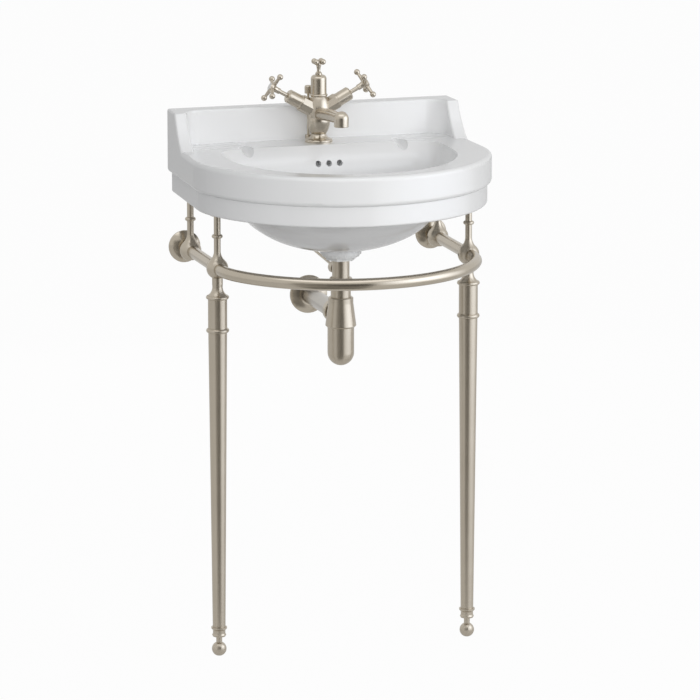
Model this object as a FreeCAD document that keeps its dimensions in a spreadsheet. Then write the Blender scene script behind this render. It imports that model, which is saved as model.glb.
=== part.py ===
import FreeCAD, Part
import math
import operator
import os

import Sketcher

# A console sink: a china basin with an upstand, a monobloc mixer tap with cross handles,
# a pop-up waste with a bottle trap, and a two-legged washstand with a curved towel rail.
# Millimetres, +Z up, +Y towards the wall, origin on the floor under the basin's middle.

# Driving dimensions. Heights are above the floor, and "from_wall" is measured off the wall.
SIZES = {
    # Basin outline and bands
    "basin_width": 560,
    "basin_depth": 470,
    "rim_height": 922,
    "band_height": 54,
    "skirt_height": 38,
    "skirt_inset": 8,
    "side_straight_share": 0.449,
    "front_fullness": 3.3,
    "back_corner_radius": 6,
    "back_taper": 8,
    "rim_radius": 8,
    "skirt_foot_radius": 4,
    # Upstand against the wall and its side wings
    "upstand_height": 64,
    "upstand_thickness": 34,
    "wing_thickness": 21,
    "wing_top_reach": 62,
    "wing_foot_reach": 114,
    "wing_toe_sink": 1,
    "wing_inner_radius": 32,
    "upstand_edge_radius": 4,
    # Bowl: its mouth and floor, and how far each level between them is from the floor's size
    "bowl_depth": 165,
    "bowl_wall": 14,
    "bowl_fullness": 1,
    "bowl_back_corner_share": 0.54,
    "rim_side": 68,
    "rim_front": 35,
    "deck_depth": 107,
    "bowl_floor_half": 45,
    "bowl_floor_back": 36,
    "bowl_floor_front": 42,
    "shoulder_drop_share": 0.182,
    "shoulder_half_share": 0.934,
    "shoulder_back_share": 0.559,
    "shoulder_front_share": 0.912,
    "waist_drop_share": 0.455,
    "waist_half_share": 0.784,
    "waist_back_share": 0.441,
    "waist_front_share": 0.626,
    "belly_drop_share": 0.739,
    "belly_half_share": 0.605,
    "belly_back_share": 0.294,
    "belly_front_share": 0.407,
    "heel_drop_share": 0.921,
    "heel_half_share": 0.281,
    "heel_back_share": 0.118,
    "heel_front_share": 0.181,
    # Underside of the bowl, on the same scale
    "dome_half_share": 0.82,
    "dome_back_share": 0.853,
    "dome_front_share": 0.621,
    # Soap trays in the deck's corners, and the grooves that drain them into the bowl
    "tray_inset": 85,
    "tray_from_wall": 72,
    "tray_half_length": 52,
    "tray_half_width": 28,
    "tray_depth": 3,
    "groove_inset": 132,
    "groove_from_wall": 70,
    "groove_radius": 12,
    "groove_depth": 3,
    "groove_slope": 11,
    "groove_length": 75,
    # Openings in the china
    "waste_from_wall": 211,
    "waste_boss_radius": 38,
    "waste_boss_height": 5,
    "waste_hole_radius": 22.5,
    "tap_from_wall": 70,
    "tap_hole_radius": 17.5,
    "deck_thickness": 18,
    "service_half_width": 165,
    "service_reach": 90,
    "back_wall": 20,
    "overflow_radius": 5.5,
    "overflow_spacing": 20.4,
    "overflow_drop": 30,
    "overflow_duct_radius": 5,
    "overflow_foot_reach": 50,
    "wall_bolt_spacing": 280,
    "wall_bolt_radius": 6,
    "wall_bolt_drop": 42,
    # General clearance between pieces that are screwed or slid together
    "fit": 0.05,
    # Tap body, heights above the deck
    "tap_spigot_radius": 16,
    "tap_spigot_depth": 6,
    "tap_base_radius": 25.7,
    "tap_base_height": 6,
    "tap_waist_radius": 13.8,
    "tap_waist_height": 15,
    "tap_belly_radius": 20.5,
    "tap_belly_height": 46,
    "tap_shoulder_radius": 15,
    "tap_shoulder_height": 85,
    "seal_inner_radius": 19,
    "seal_outer_radius": 23,
    "seal_thickness": 2,
    # Tap arms, measured along each valve's axis
    "valve_height": 56,
    "valve_elevation": 28.7,
    "arm_radius": 15.5,
    "arm_length": 39,
    "bonnet_radius": 12.8,
    "bonnet_end": 69,
    "cartridge_radius": 9,
    "cartridge_start": 26,
    "spindle_radius": 4,
    "handle_reach": 102,
    "handle_hub_radius": 10,
    "handle_ball_radius": 5.6,
    "handle_spoke_length": 27.5,
    "handle_spoke_root": 4.4,
    "handle_spoke_tip": 2.9,
    "handle_disc_radius": 7.5,
    "hot_rest_turn": 60,
    "cold_rest_turn": 51,
    # Spout, heights above the deck
    "spout_reach": 145,
    "spout_half_width": 11.5,
    "spout_half_height": 10.5,
    "spout_root_height": 53,
    "spout_middle_height": 60,
    "spout_end_height": 64,
    "nozzle_radius": 13.5,
    "nozzle_mouth": 50,
    "nozzle_dome": 79,
    "aerator_radius": 10.5,
    "aerator_height": 7,
    # Central tower and finial, heights above the tap's shoulder
    "tower_ring_radius": 16.6,
    "tower_ring_height": 5,
    "tower_radius": 14.6,
    "tower_height": 40,
    "finial_ball_height": 64.5,
    "finial_ball_radius": 5.4,
    "finial_spread": 9.2,
    "finial_spoke_root": 3.6,
    "finial_spoke_tip": 2.8,
    # Tap fixing
    "stud_radius": 4,
    "stud_offset": 9,
    "stud_length": 57,
    "plate_radius": 24,
    "plate_thickness": 4,
    "inlet_radius": 4.5,
    "inlet_depth": 14,
    "inlet_spread": 8.5,
    "inlet_ahead": 3,
    # Pop-up linkage
    "lift_side": 12,
    "lift_behind": 27,
    "lift_rod_radius": 2.5,
    "lift_lug_wall": 3.5,
    "knob_radius": 7,
    "knob_bottom": 87,
    "knob_height": 15,
    "lift_travel": 35,
    "port_drop": 51.5,
    "pivot_arm": 28,
    "pivot_ball_radius": 6,
    "pivot_belt_radius": 6.1,
    "pivot_belt_width": 3,
    "pivot_ball_room": 0.4,
    "pivot_rod_radius": 2.5,
    "clevis_width": 12,
    "clevis_thickness": 3,
    "clevis_height": 78,
    # Waste fitting
    "waste_flange_radius": 32,
    "waste_flange_thickness": 4,
    "waste_tube_radius": 20.5,
    "tail_radius": 16,
    "tail_wall": 1.5,
    "neck_wall": 2.5,
    "back_nut_radius": 34.5,
    "back_nut_height": 12,
    "back_nut_rim": 5,
    "back_nut_hub_radius": 28,
    "plug_radius": 27,
    "plug_thickness": 5,
    "plug_gap": 0.4,
    # Bottle trap, measured down from the bowl's floor
    "inlet_nut_drop": 65,
    "inlet_nut_height": 12,
    "nut_radius": 21.5,
    "trap_shoulder_drop": 101,
    "trap_shoulder_height": 11,
    "trap_shoulder_radius": 23,
    "trap_skirt_drop": 157,
    "trap_skirt_radius": 28.5,
    "cup_radius": 24.5,
    "cup_wall": 2,
    "cup_bottom_drop": 229,
    "outlet_drop": 135,
    "outlet_boss_reach": 38,
    "outlet_flange_radius": 36,
    "outlet_flange_depth": 10,
    # Washstand
    "leg_inset": 40,
    "leg_from_wall": 230,
    "back_post_from_wall": 45,
    "rail_drop": 196,
    "rail_radius": 11,
    "rail_wall": 1.8,
    "rail_front_inset": 13,
    "rail_straight_past_leg": 22,
    "rail_fullness": 2.42,
    "head_ball_radius": 20,
    "head_neck_radius": 9.8,
    "head_cap_radius": 21,
    "head_cap_thickness": 7,
    "head_spigot_length": 12,
    "head_cap_drop": 57,
    "head_top": 30,
    "head_button_drop": 17,
    "post_radius": 6.2,
    "post_head_thickness": 4,
    "post_ring_bulge": 3.8,
    "post_ring_height": 59,
    "post_ring_thickness": 7,
    "pad_radius": 12,
    "pad_thickness": 3,
    "sleeve_radius": 17.5,
    "sleeve_wall": 2,
    "sleeve_length": 62,
    "sleeve_ring_thickness": 8,
    "leg_top_radius": 17.2,
    "leg_foot_radius": 11.8,
    "leg_bore_radius": 9,
    "leg_spigot_length": 20,
    "collar_radius": 14.5,
    "collar_height": 18,
    "collar_spigot_length": 12,
    "collar_bottom": 36,
    "foot_ball_radius": 13.5,
    "foot_ball_height": 26,
    "foot_stud_radius": 5.5,
    "foot_stud_length": 34,
    "wall_flange_radius": 30,
    "wall_flange_depth": 12,
    "wall_plate_radius": 23,
    "wall_plate_thickness": 4,
    "plate_screw_circle": 17,
    "plate_screw_radius": 2.2,
    "grub_radius": 2.5,
    "grub_length": 7,
}

document = FreeCAD.newDocument("console_sink")
sheet = document.addObject("Spreadsheet::Sheet", "sizes")
for row, (alias, number) in enumerate(SIZES.items(), start=1):
    sheet.set(f"A{row}", alias)
    sheet.set(f"B{row}", str(number))
    sheet.setAlias(f"B{row}", alias)
document.recompute()


# Sizes that carry their spreadsheet formula

OPERATIONS = {"+": operator.add, "-": operator.sub, "*": operator.mul, "/": operator.truediv}


class Size:
    """A number together with the spreadsheet formula that gives it."""

    def __init__(self, value, formula):
        self.value = value
        self.formula = formula

    def __add__(self, other):
        return combined(self, "+", other)

    def __radd__(self, other):
        return combined(other, "+", self)

    def __sub__(self, other):
        return combined(self, "-", other)

    def __rsub__(self, other):
        return combined(other, "-", self)

    def __mul__(self, other):
        return combined(self, "*", other)

    def __rmul__(self, other):
        return combined(other, "*", self)

    def __truediv__(self, other):
        return combined(self, "/", other)

    def __neg__(self):
        return combined(0, "-", self)


def as_size(number):
    """Give a plain number a formula of its own."""
    if isinstance(number, Size):
        return number
    return Size(float(number), f"({float(number)})")


def combined(left, sign, right):
    """Join two sizes by one operation, in value and in formula."""
    first = as_size(left)
    second = as_size(right)
    value = OPERATIONS[sign](first.value, second.value)
    return Size(value, f"({first.formula} {sign} {second.formula})")


def root(size):
    """Square root of a size."""
    return Size(math.sqrt(size.value), f"sqrt({size.formula})")


def power(size, exponent):
    """A size raised to a power that is itself a size."""
    return Size(size.value**exponent.value, f"pow({size.formula}; {exponent.formula})")


def cosine(angle):
    """Cosine of an angle in degrees."""
    return Size(math.cos(math.radians(angle.value)), f"cos({angle.formula} * 1 deg)")


def sine(angle):
    """Sine of an angle in degrees."""
    return Size(math.sin(math.radians(angle.value)), f"sin({angle.formula} * 1 deg)")


def dome_radius(half, rise):
    """Radius of the ball whose cap has a given half width and rise."""
    return (half * half + rise * rise) / (2 * rise)


class Sheet:
    """The spreadsheet's cells, read by alias."""

    def __getattr__(self, alias):
        return Size(float(SIZES[alias]), f"sizes.{alias}")


S = Sheet()


# Sketches, solids and placements

UPRIGHT = FreeCAD.Rotation()
ALONG_X = FreeCAD.Rotation(FreeCAD.Vector(0, 1, 0), 90)
ALONG_Y = FreeCAD.Rotation(FreeCAD.Vector(1, 0, 0), -90)


def bind(item, **sizes):
    """Tie properties of an object to spreadsheet formulas."""
    for name, size in sizes.items():
        item.setExpression(name, as_size(size).formula)


def place(item, x, y, z, rotation=UPRIGHT):
    """Put an object at a bound position with a given turn."""
    spot = [as_size(x), as_size(y), as_size(z)]
    item.Placement = FreeCAD.Placement(FreeCAD.Vector(*[size.value for size in spot]), rotation)
    for letter, size in zip("xyz", spot):
        item.setExpression(f"Placement.Base.{letter}", size.formula)
    return item


def add_sketch(body, plane, name, lift=None):
    """A sketch on one of the body's own origin planes, lifted along the plane's normal."""
    sketch = body.newObject("Sketcher::SketchObject", name)
    support = next(item for item in body.Origin.OriginFeatures if item.Role == plane)
    sketch.AttachmentSupport = [(support, "")]
    sketch.MapMode = "FlatFace"
    if lift is not None:
        sketch.setExpression("AttachmentOffset.Base.z", lift.formula)
    return sketch


def arc_between(begin, end, radius, side):
    """Arc under a half circle, centre on the left of travel for side 1 and on the right for -1."""
    chord = end - begin
    half = chord.Length / 2
    rise = math.sqrt(max(radius * radius - half * half, 0))
    across = FreeCAD.Vector(-chord.y, chord.x, 0).normalize()
    centre = (begin + end) / 2 + across * rise * side
    angles = [math.atan2(point.y - centre.y, point.x - centre.x) for point in (begin, end)]
    first, last = angles if side > 0 else reversed(angles)
    if last < first:
        last += 2 * math.pi
    return Part.ArcOfCircle(Part.Circle(centre, FreeCAD.Vector(0, 0, 1), radius), first, last)


def pin_corner(sketch, handle, corner):
    """Fix a corner's two coordinates, bound to their formulas."""
    for letter, coordinate in zip("XY", corner):
        if isinstance(coordinate, Size):
            rule = Sketcher.Constraint("Distance" + letter, -1, 1, *handle, coordinate.value)
            index = sketch.addConstraint(rule)
            sketch.setExpression(f"Constraints[{index}]", coordinate.formula)
        else:
            line = -2 if letter == "X" else -1
            sketch.addConstraint(Sketcher.Constraint("PointOnObject", *handle, line))


def draw(sketch, corners, closed=True):
    """Lines and arcs from corner to corner: (x, y) ends a line, (x, y, radius, side) an arc.

    A coordinate of plain 0 lies on the sketch's axis. A closed outline returns to its first corner.
    """
    spots = [FreeCAD.Vector(as_size(x).value, as_size(y).value, 0) for x, y, *bend in corners]
    order = list(range(1, len(corners))) + ([0] if closed else [])
    begins, ends = [], []
    for geometry, target in enumerate(order):
        bend = corners[target][2:]
        begin, end = spots[target - 1], spots[target]
        if bend:
            sketch.addGeometry(arc_between(begin, end, as_size(bend[0]).value, bend[1]))
            forward = bend[1] > 0
            begins.append((geometry, 1 if forward else 2))
            ends.append((geometry, 2 if forward else 1))
        else:
            sketch.addGeometry(Part.LineSegment(begin, end))
            begins.append((geometry, 1))
            ends.append((geometry, 2))
    joins = list(zip(ends, begins[1:]))
    if closed:
        joins.append((ends[-1], begins[0]))
    for first, second in joins:
        sketch.addConstraint(Sketcher.Constraint("Coincident", *first, *second))
    handles = begins if closed else begins + [ends[-1]]
    for handle, corner in zip(handles, corners):
        pin_corner(sketch, handle, corner[:2])
    for geometry, target in enumerate(order):
        bend = corners[target][2:]
        if bend:
            radius = as_size(bend[0])
            index = sketch.addConstraint(Sketcher.Constraint("Radius", geometry, radius.value))
            sketch.setExpression(f"Constraints[{index}]", radius.formula)


def draw_circle(sketch, x, y, radius):
    """A circle with its centre and radius bound."""
    middle = FreeCAD.Vector(as_size(x).value, as_size(y).value, 0)
    geometry = sketch.addGeometry(Part.Circle(middle, FreeCAD.Vector(0, 0, 1), radius.value))
    pin_corner(sketch, (geometry, 3), (x, y))
    index = sketch.addConstraint(Sketcher.Constraint("Radius", geometry, radius.value))
    sketch.setExpression(f"Constraints[{index}]", radius.formula)


def turned(name, corners):
    """A lathe-turned body: an outline of (radius, height) corners spun about the upright axis."""
    body = document.addObject("PartDesign::Body", name)
    sketch = add_sketch(body, "XZ_Plane", name + "_profile")
    draw(sketch, corners)
    spin = body.newObject("PartDesign::Revolution", name + "_turning")
    spin.Profile = sketch
    spin.ReferenceAxis = (sketch, ["V_Axis"])
    spin.Angle = 360
    return body


def cylinder(name, radius, length):
    """A plain rod along its own upright axis."""
    rod = document.addObject("Part::Cylinder", name)
    bind(rod, Radius=radius, Height=length)
    return rod


def block(name, length, width, height):
    """A plain rectangular block from its low corner."""
    box = document.addObject("Part::Box", name)
    bind(box, Length=length, Width=width, Height=height)
    return box


def prism(name, sides, radius, height):
    """A regular prism by the radius of its corners."""
    bar = document.addObject("Part::Prism", name)
    bar.Polygon = sides
    bind(bar, Circumradius=radius, Height=height)
    return bar


def fuse(name, shapes):
    """One solid from several that overlap."""
    union = document.addObject("Part::MultiFuse", name)
    union.Shapes = shapes
    return union


def cut(name, base, tools):
    """A solid with tools taken out of it, one after another."""
    for index, tool in enumerate(tools):
        result = document.addObject("Part::Cut", f"{name}_{index}")
        result.Base = base
        result.Tool = tool
        base = result
    return base


def group(name, shapes):
    """Like pieces kept as separate solids under one name."""
    compound = document.addObject("Part::Compound", name)
    compound.Links = shapes
    return compound


pieces = []


def piece(name, item):
    """Name a finished sub-part."""
    item.Label = name
    pieces.append(item)
    return item


# Places that several pieces share

WALL = S.basin_depth / 2
HALF_WIDTH = S.basin_width / 2
HALF_BACK = HALF_WIDTH - S.back_taper
SIDE_LENGTH = S.side_straight_share * S.basin_depth
STEP = S.rim_height - S.band_height
UNDERSIDE = STEP - S.skirt_height
WASTE_Y = WALL - S.waste_from_wall
TAP_Y = WALL - S.tap_from_wall
BOWL_FLOOR = S.rim_height - S.bowl_depth
BOSS_BOTTOM = BOWL_FLOOR - S.bowl_wall - S.waste_boss_height
RAIL_HEIGHT = S.rim_height - S.rail_drop
LEG_X = HALF_WIDTH - S.leg_inset
LEG_Y = WALL - S.leg_from_wall
BACK_POST_Y = WALL - S.back_post_from_wall
SIDES = {"left": -1, "right": 1}


# Basin: one piece of glazed china

def d_outline(half, back, spring, front, fullness, back_radius, taper=0):
    """A D seen from above: straight back and sides, and a three-arc front that meets them smoothly.

    The fuller the front, the tighter its corner arcs, by a power of the front's rise over half width.
    A taper draws the sides in towards the back.
    """
    rise = spring - front
    front_radius = rise * power(rise / half, fullness)
    spread = half - front_radius
    reach = rise - front_radius
    offset = (spread * spread - reach * reach) / (2 * reach)
    front_arc = rise + offset
    meet_x = front_arc * spread / (front_arc - front_radius)
    meet_y = spring - offset * front_radius / (front_arc - front_radius)
    half_back = half - taper
    return [
        (half_back - back_radius, back, back_radius, 1),
        (back_radius - half_back, back),
        (-half_back, back - back_radius, back_radius, 1),
        (-half, spring),
        (-meet_x, meet_y, front_radius, 1),
        (meet_x, meet_y, front_arc, 1),
        (half, spring, front_radius, 1),
        (half_back, back - back_radius),
    ]


def band_outline(inset):
    """The basin's own outline, drawn in by an inset on the sides and the front."""
    return d_outline(
        HALF_WIDTH - inset,
        WALL,
        WALL - SIDE_LENGTH,
        inset - WALL,
        S.front_fullness,
        S.back_corner_radius,
        S.back_taper,
    )


def pad(body, name, lift, corners, length):
    """A straight block of china over a flat outline."""
    sketch = add_sketch(body, "XY_Plane", name + "_outline", lift)
    draw(sketch, corners)
    feature = body.newObject("PartDesign::Pad", name)
    feature.Profile = sketch
    bind(feature, Length=length)
    return feature


def edges_at(feature, height):
    """Names of the edges that lie wholly at one height."""
    names = []
    for index, edge in enumerate(feature.Shape.Edges, start=1):
        box = edge.BoundBox
        if abs(box.ZMin - height) < 0.01 and abs(box.ZMax - height) < 0.01:
            names.append(f"Edge{index}")
    return names


def round_edges(body, name, base, names, radius):
    """Round the named edges of a feature."""
    fillet = body.newObject("PartDesign::Fillet", name)
    fillet.Base = (base, names)
    bind(fillet, Radius=radius)
    document.recompute()
    return fillet


MOUTH = (
    HALF_WIDTH - S.rim_side,
    S.waste_from_wall - S.deck_depth,
    S.basin_depth - S.waste_from_wall - S.rim_front,
)
FLOOR = (S.bowl_floor_half, S.bowl_floor_back, S.bowl_floor_front)


def bowl_size(half_share, back_share, front_share):
    """Half width, back and front reach of a level that lies part way from the floor's to the mouth's."""
    shares = (half_share, back_share, front_share)
    return [low + (high - low) * share for low, high, share in zip(FLOOR, MOUTH, shares)]


SHOULDER = bowl_size(S.shoulder_half_share, S.shoulder_back_share, S.shoulder_front_share)
WAIST = bowl_size(S.waist_half_share, S.waist_back_share, S.waist_front_share)
BELLY = bowl_size(S.belly_half_share, S.belly_back_share, S.belly_front_share)
HEEL = bowl_size(S.heel_half_share, S.heel_back_share, S.heel_front_share)
DOME = bowl_size(S.dome_half_share, S.dome_back_share, S.dome_front_share)


def bowl_section(half, back, front):
    """One level of the bowl: a D about the waste's axis."""
    return d_outline(
        half,
        WASTE_Y + back,
        WASTE_Y,
        WASTE_Y - front,
        S.bowl_fullness,
        S.bowl_back_corner_share * back,
    )


def loft(body, kind, name, sections):
    """A smooth skin through outlines at several heights."""
    sketches = []
    for index, (lift, corners) in enumerate(sections):
        sketch = add_sketch(body, "XY_Plane", f"{name}_section_{index}", lift)
        draw(sketch, corners)
        sketches.append(sketch)
    feature = body.newObject(kind, name)
    feature.Profile = sketches[0]
    feature.Sections = sketches[1:]
    feature.Ruled = False
    return feature


DOME_LEVELS = (0, 0.36, 0.7, 0.9, 0.985)


def dome_sections():
    """Levels of the bowl's rounded underside, shrinking as a quarter ellipse does."""
    drop = UNDERSIDE - (BOWL_FLOOR - S.bowl_wall)
    sections = []
    for level in DOME_LEVELS:
        shrink = math.sqrt(1 - level * level)
        height = UNDERSIDE + S.skirt_foot_radius - (drop + S.skirt_foot_radius) * level
        sections.append((height, bowl_section(*[reach * shrink for reach in DOME])))
    return sections


def bowl_sections():
    """Levels of the bowl's inside, from just above its mouth to its floor."""
    return [
        (S.rim_height, bowl_section(*MOUTH)),
        (S.rim_height - S.shoulder_drop_share * S.bowl_depth, bowl_section(*SHOULDER)),
        (S.rim_height - S.waist_drop_share * S.bowl_depth, bowl_section(*WAIST)),
        (S.rim_height - S.belly_drop_share * S.bowl_depth, bowl_section(*BELLY)),
        (S.rim_height - S.heel_drop_share * S.bowl_depth, bowl_section(*HEEL)),
        (BOWL_FLOOR, bowl_section(*FLOOR)),
    ]


def make_bowl():
    """The banded D with its bowl, before the upstand joins it and the holes are cut."""
    body = document.addObject("PartDesign::Body", "bowl_blank")
    band = pad(body, "band", STEP, band_outline(0), S.band_height)
    document.recompute()
    ends = edges_at(band, S.rim_height.value) + edges_at(band, STEP.value)
    round_edges(body, "band_edges", band, ends, S.rim_radius)
    skirt = pad(body, "skirt", UNDERSIDE, band_outline(S.skirt_inset), S.skirt_height + S.rim_radius)
    document.recompute()
    round_edges(body, "skirt_edge", skirt, edges_at(skirt, UNDERSIDE.value), S.skirt_foot_radius)
    loft(body, "PartDesign::AdditiveLoft", "dome", dome_sections())
    document.recompute()
    loft(body, "PartDesign::SubtractiveLoft", "hollow", bowl_sections())
    document.recompute()
    return body


def make_upstand():
    """The splash upstand with a wing at each end, swept down to the rim."""
    body = document.addObject("PartDesign::Body", "upstand_blank")
    base = S.rim_height - S.rim_radius
    top = S.rim_height + S.upstand_height
    toe = S.rim_height - S.wing_toe_sink
    reach = S.wing_foot_reach
    run = reach - S.wing_top_reach
    sweep = 2 * root(run * run + (top - toe) * (top - toe))
    corner = S.back_corner_radius
    half_toe = HALF_BACK + S.back_taper * (reach - corner) / (SIDE_LENGTH - corner)
    inner = HALF_BACK - S.wing_thickness
    face = WALL - S.upstand_thickness
    curve = S.wing_inner_radius
    outline = [
        (HALF_BACK - corner, WALL, corner, 1),
        (corner - HALF_BACK, WALL),
        (-HALF_BACK, WALL - corner, corner, 1),
        (-half_toe, WALL - reach),
        (-inner, WALL - reach),
        (-inner, face - curve),
        (curve - inner, face, curve, -1),
        (inner - curve, face),
        (inner, face - curve, curve, -1),
        (inner, WALL - reach),
        (half_toe, WALL - reach),
        (HALF_BACK, WALL - corner),
    ]
    pad(body, "upstand", base, outline, top - base)
    spare = S.upstand_height
    sketch = add_sketch(body, "YZ_Plane", "wing_slope_outline")
    draw(sketch, [
        (WALL - reach, toe),
        (WALL - S.wing_top_reach, top, sweep, 1),
        (WALL - S.wing_top_reach, top + spare),
        (WALL - reach - spare, top + spare),
        (WALL - reach - spare, toe),
    ])
    slope_cut = body.newObject("PartDesign::Pocket", "wing_slope")
    slope_cut.Profile = sketch
    slope_cut.Type = "ThroughAll"
    slope_cut.SideType = "Symmetric"
    document.recompute()
    names = []
    for index, edge in enumerate(slope_cut.Shape.Edges, start=1):
        box = edge.BoundBox
        reaches_top = abs(box.ZMax - top.value) < 0.01
        upright = box.XLength < 0.01 and box.YLength < 0.01
        on_wall = box.YMin > WALL.value - S.back_corner_radius.value - 0.01
        if reaches_top and not upright and not on_wall:
            names.append(f"Edge{index}")
    round_edges(body, "upstand_edges", slope_cut, names, S.upstand_edge_radius)
    return body


def china_openings():
    """Everything that is bored, recessed or ducted in the china."""
    spare = S.deck_thickness
    waste_hole = cylinder("waste_hole", S.waste_hole_radius, S.bowl_wall + 4 * spare)
    place(waste_hole, 0, WASTE_Y, BOSS_BOTTOM - spare)
    tap_hole = cylinder("tap_hole", S.tap_hole_radius, 3 * spare)
    place(tap_hole, 0, TAP_Y, S.rim_height - 2 * spare)
    rod_hole = cylinder("lift_rod_hole", S.lift_rod_radius + 2, 3 * spare)
    place(rod_hole, -S.lift_side, TAP_Y + S.lift_behind, S.rim_height - 2 * spare)
    recess_height = S.rim_height - S.deck_thickness - UNDERSIDE + spare
    recess = block(
        "service_recess",
        2 * S.service_half_width,
        S.service_reach - S.back_wall,
        recess_height,
    )
    place(recess, -S.service_half_width, WALL - S.service_reach, UNDERSIDE - spare)
    tools = [waste_hole, tap_hole, rod_hole, recess]
    for side, sign in SIDES.items():
        bolt = cylinder(f"wall_bolt_hole_{side}", S.wall_bolt_radius, 2 * S.back_wall)
        x = sign * S.wall_bolt_spacing / 2
        place(bolt, x, WALL - 1.5 * S.back_wall, S.rim_height - S.wall_bolt_drop, ALONG_Y)
        tools.append(bolt)
    hole_z = S.rim_height - S.overflow_drop
    chamber_y = WASTE_Y + SHOULDER[1] + 2 * S.overflow_radius
    chamber_width = 2 * S.overflow_spacing + 4 * S.overflow_radius
    chamber_depth = 2 * S.overflow_radius
    chamber = block("overflow_chamber", chamber_width, chamber_depth, 4 * S.overflow_radius)
    place(chamber, -chamber_width / 2, chamber_y, hole_z - 2.5 * S.overflow_radius)
    tools.append(chamber)
    for index in (-1, 0, 1):
        hole = cylinder(f"overflow_hole_{index + 2}", S.overflow_radius, 4 * S.overflow_radius)
        place(hole, index * S.overflow_spacing, chamber_y - 3 * S.overflow_radius, hole_z, ALONG_Y)
        tools.append(hole)
    return tools + overflow_run("duct", S.overflow_duct_radius, 1)


def overflow_run(name, radius, share):
    """The overflow's way down behind the bowl, then under its floor to the waste, as two rods."""
    knee_y = WASTE_Y + S.overflow_foot_reach
    knee_z = BOSS_BOTTOM + 2 * S.overflow_duct_radius
    rise = (S.rim_height - S.overflow_drop - knee_z) * share
    run = (WASTE_Y + SHOULDER[1] + 3 * S.overflow_radius - knee_y) * share
    lean = FreeCAD.Rotation(FreeCAD.Vector(1, 0, 0), -math.degrees(math.atan2(run.value, rise.value)))
    riser = cylinder(f"overflow_{name}_riser", radius, root(rise * rise + run * run))
    place(riser, 0, knee_y, knee_z, lean)
    foot_radius = 0.85 * radius
    foot_length = S.overflow_foot_reach - S.waste_hole_radius + 2 * radius
    foot = cylinder(f"overflow_{name}_foot", foot_radius, foot_length)
    place(foot, 0, WASTE_Y + S.waste_hole_radius - radius, knee_z, ALONG_Y)
    return [riser, foot]


def deck_hollows():
    """Lens-shaped soap trays in the deck's corners, and a groove from each one down into the bowl."""
    trays = []
    grooves = []
    lens = 10 * S.tray_depth
    lens_lift = lens - S.tray_depth
    spread = root(lens * lens - lens_lift * lens_lift) / lens
    for side, sign in SIDES.items():
        tray = document.addObject("Part::Ellipsoid", f"soap_tray_{side}")
        bind(tray, Radius1=lens, Radius2=S.tray_half_length / spread, Radius3=S.tray_half_width / spread)
        tray_x = sign * (HALF_WIDTH - S.tray_inset)
        trays.append(place(tray, tray_x, WALL - S.tray_from_wall, S.rim_height + lens_lift))
        groove = cylinder(f"drain_groove_{side}", S.groove_radius, S.groove_length)
        groove_x = sign * (HALF_WIDTH - S.groove_inset)
        groove_z = S.rim_height + S.groove_radius - S.groove_depth
        fall = FreeCAD.Rotation(FreeCAD.Vector(1, 0, 0), 90 + S.groove_slope.value)
        grooves.append(place(groove, groove_x, WALL - S.groove_from_wall, groove_z, fall))
    return trays, grooves


def make_basin():
    """The whole china piece."""
    boss = cylinder("waste_boss", S.waste_boss_radius, S.waste_boss_height + S.bowl_wall)
    place(boss, 0, WASTE_Y, BOSS_BOTTOM)
    rib = overflow_run("rib", 2 * S.overflow_duct_radius, 0.7)
    trays, grooves = deck_hollows()
    bowl = cut("dished_bowl", make_bowl(), trays)
    china = fuse("china_blank", [bowl, make_upstand(), boss] + rib)
    piece("basin", cut("basin_china", china, china_openings() + grooves))


make_basin()


# Tap: cast body with arms and spout

def tilt(sign):
    """Turn that lays an upright axis along a valve arm."""
    return FreeCAD.Rotation(FreeCAD.Vector(0, sign, 0), 90 - S.valve_elevation.value)


def on_valve(item, sign, spin=0):
    """Place a piece built along the upright axis on one valve's axis."""
    turn = tilt(sign).multiply(FreeCAD.Rotation(FreeCAD.Vector(0, 0, 1), spin))
    return place(item, 0, TAP_Y, S.rim_height + S.valve_height, turn)


def make_tap_core():
    """Base flange, waist and urn of the casting, on the tap's upright axis."""
    edge = S.tap_base_height / 2
    core = turned("tap_core", [
        (0, -S.tap_spigot_depth),
        (S.tap_spigot_radius, -S.tap_spigot_depth),
        (S.tap_spigot_radius, 0),
        (S.seal_inner_radius, 0),
        (S.seal_inner_radius, S.seal_thickness),
        (S.seal_outer_radius, S.seal_thickness),
        (S.seal_outer_radius, 0),
        (S.tap_base_radius, 0),
        (S.tap_base_radius, edge),
        (S.tap_base_radius - edge, S.tap_base_height, edge, 1),
        (S.tap_waist_radius, S.tap_waist_height, S.tap_waist_height - edge, -1),
        (S.tap_belly_radius, S.tap_belly_height, 3 * S.tap_waist_radius, 1),
        (S.tap_shoulder_radius, S.tap_shoulder_height, 3 * S.tap_belly_radius, 1),
        (0, S.tap_shoulder_height),
    ])
    return place(core, 0, TAP_Y, S.rim_height)


SPOUT_CORNER_SHARE = 0.85


def spout_section(half_width, half_height, middle):
    """A rounded box across the spout."""
    curve = SPOUT_CORNER_SHARE * half_height
    low = middle - half_height
    high = middle + half_height
    return [
        (half_width - curve, high, curve, 1),
        (curve - half_width, high),
        (-half_width, high - curve, curve, 1),
        (-half_width, low + curve),
        (curve - half_width, low, curve, 1),
        (half_width - curve, low),
        (half_width, low + curve, curve, 1),
        (half_width, high - curve),
    ]


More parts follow.
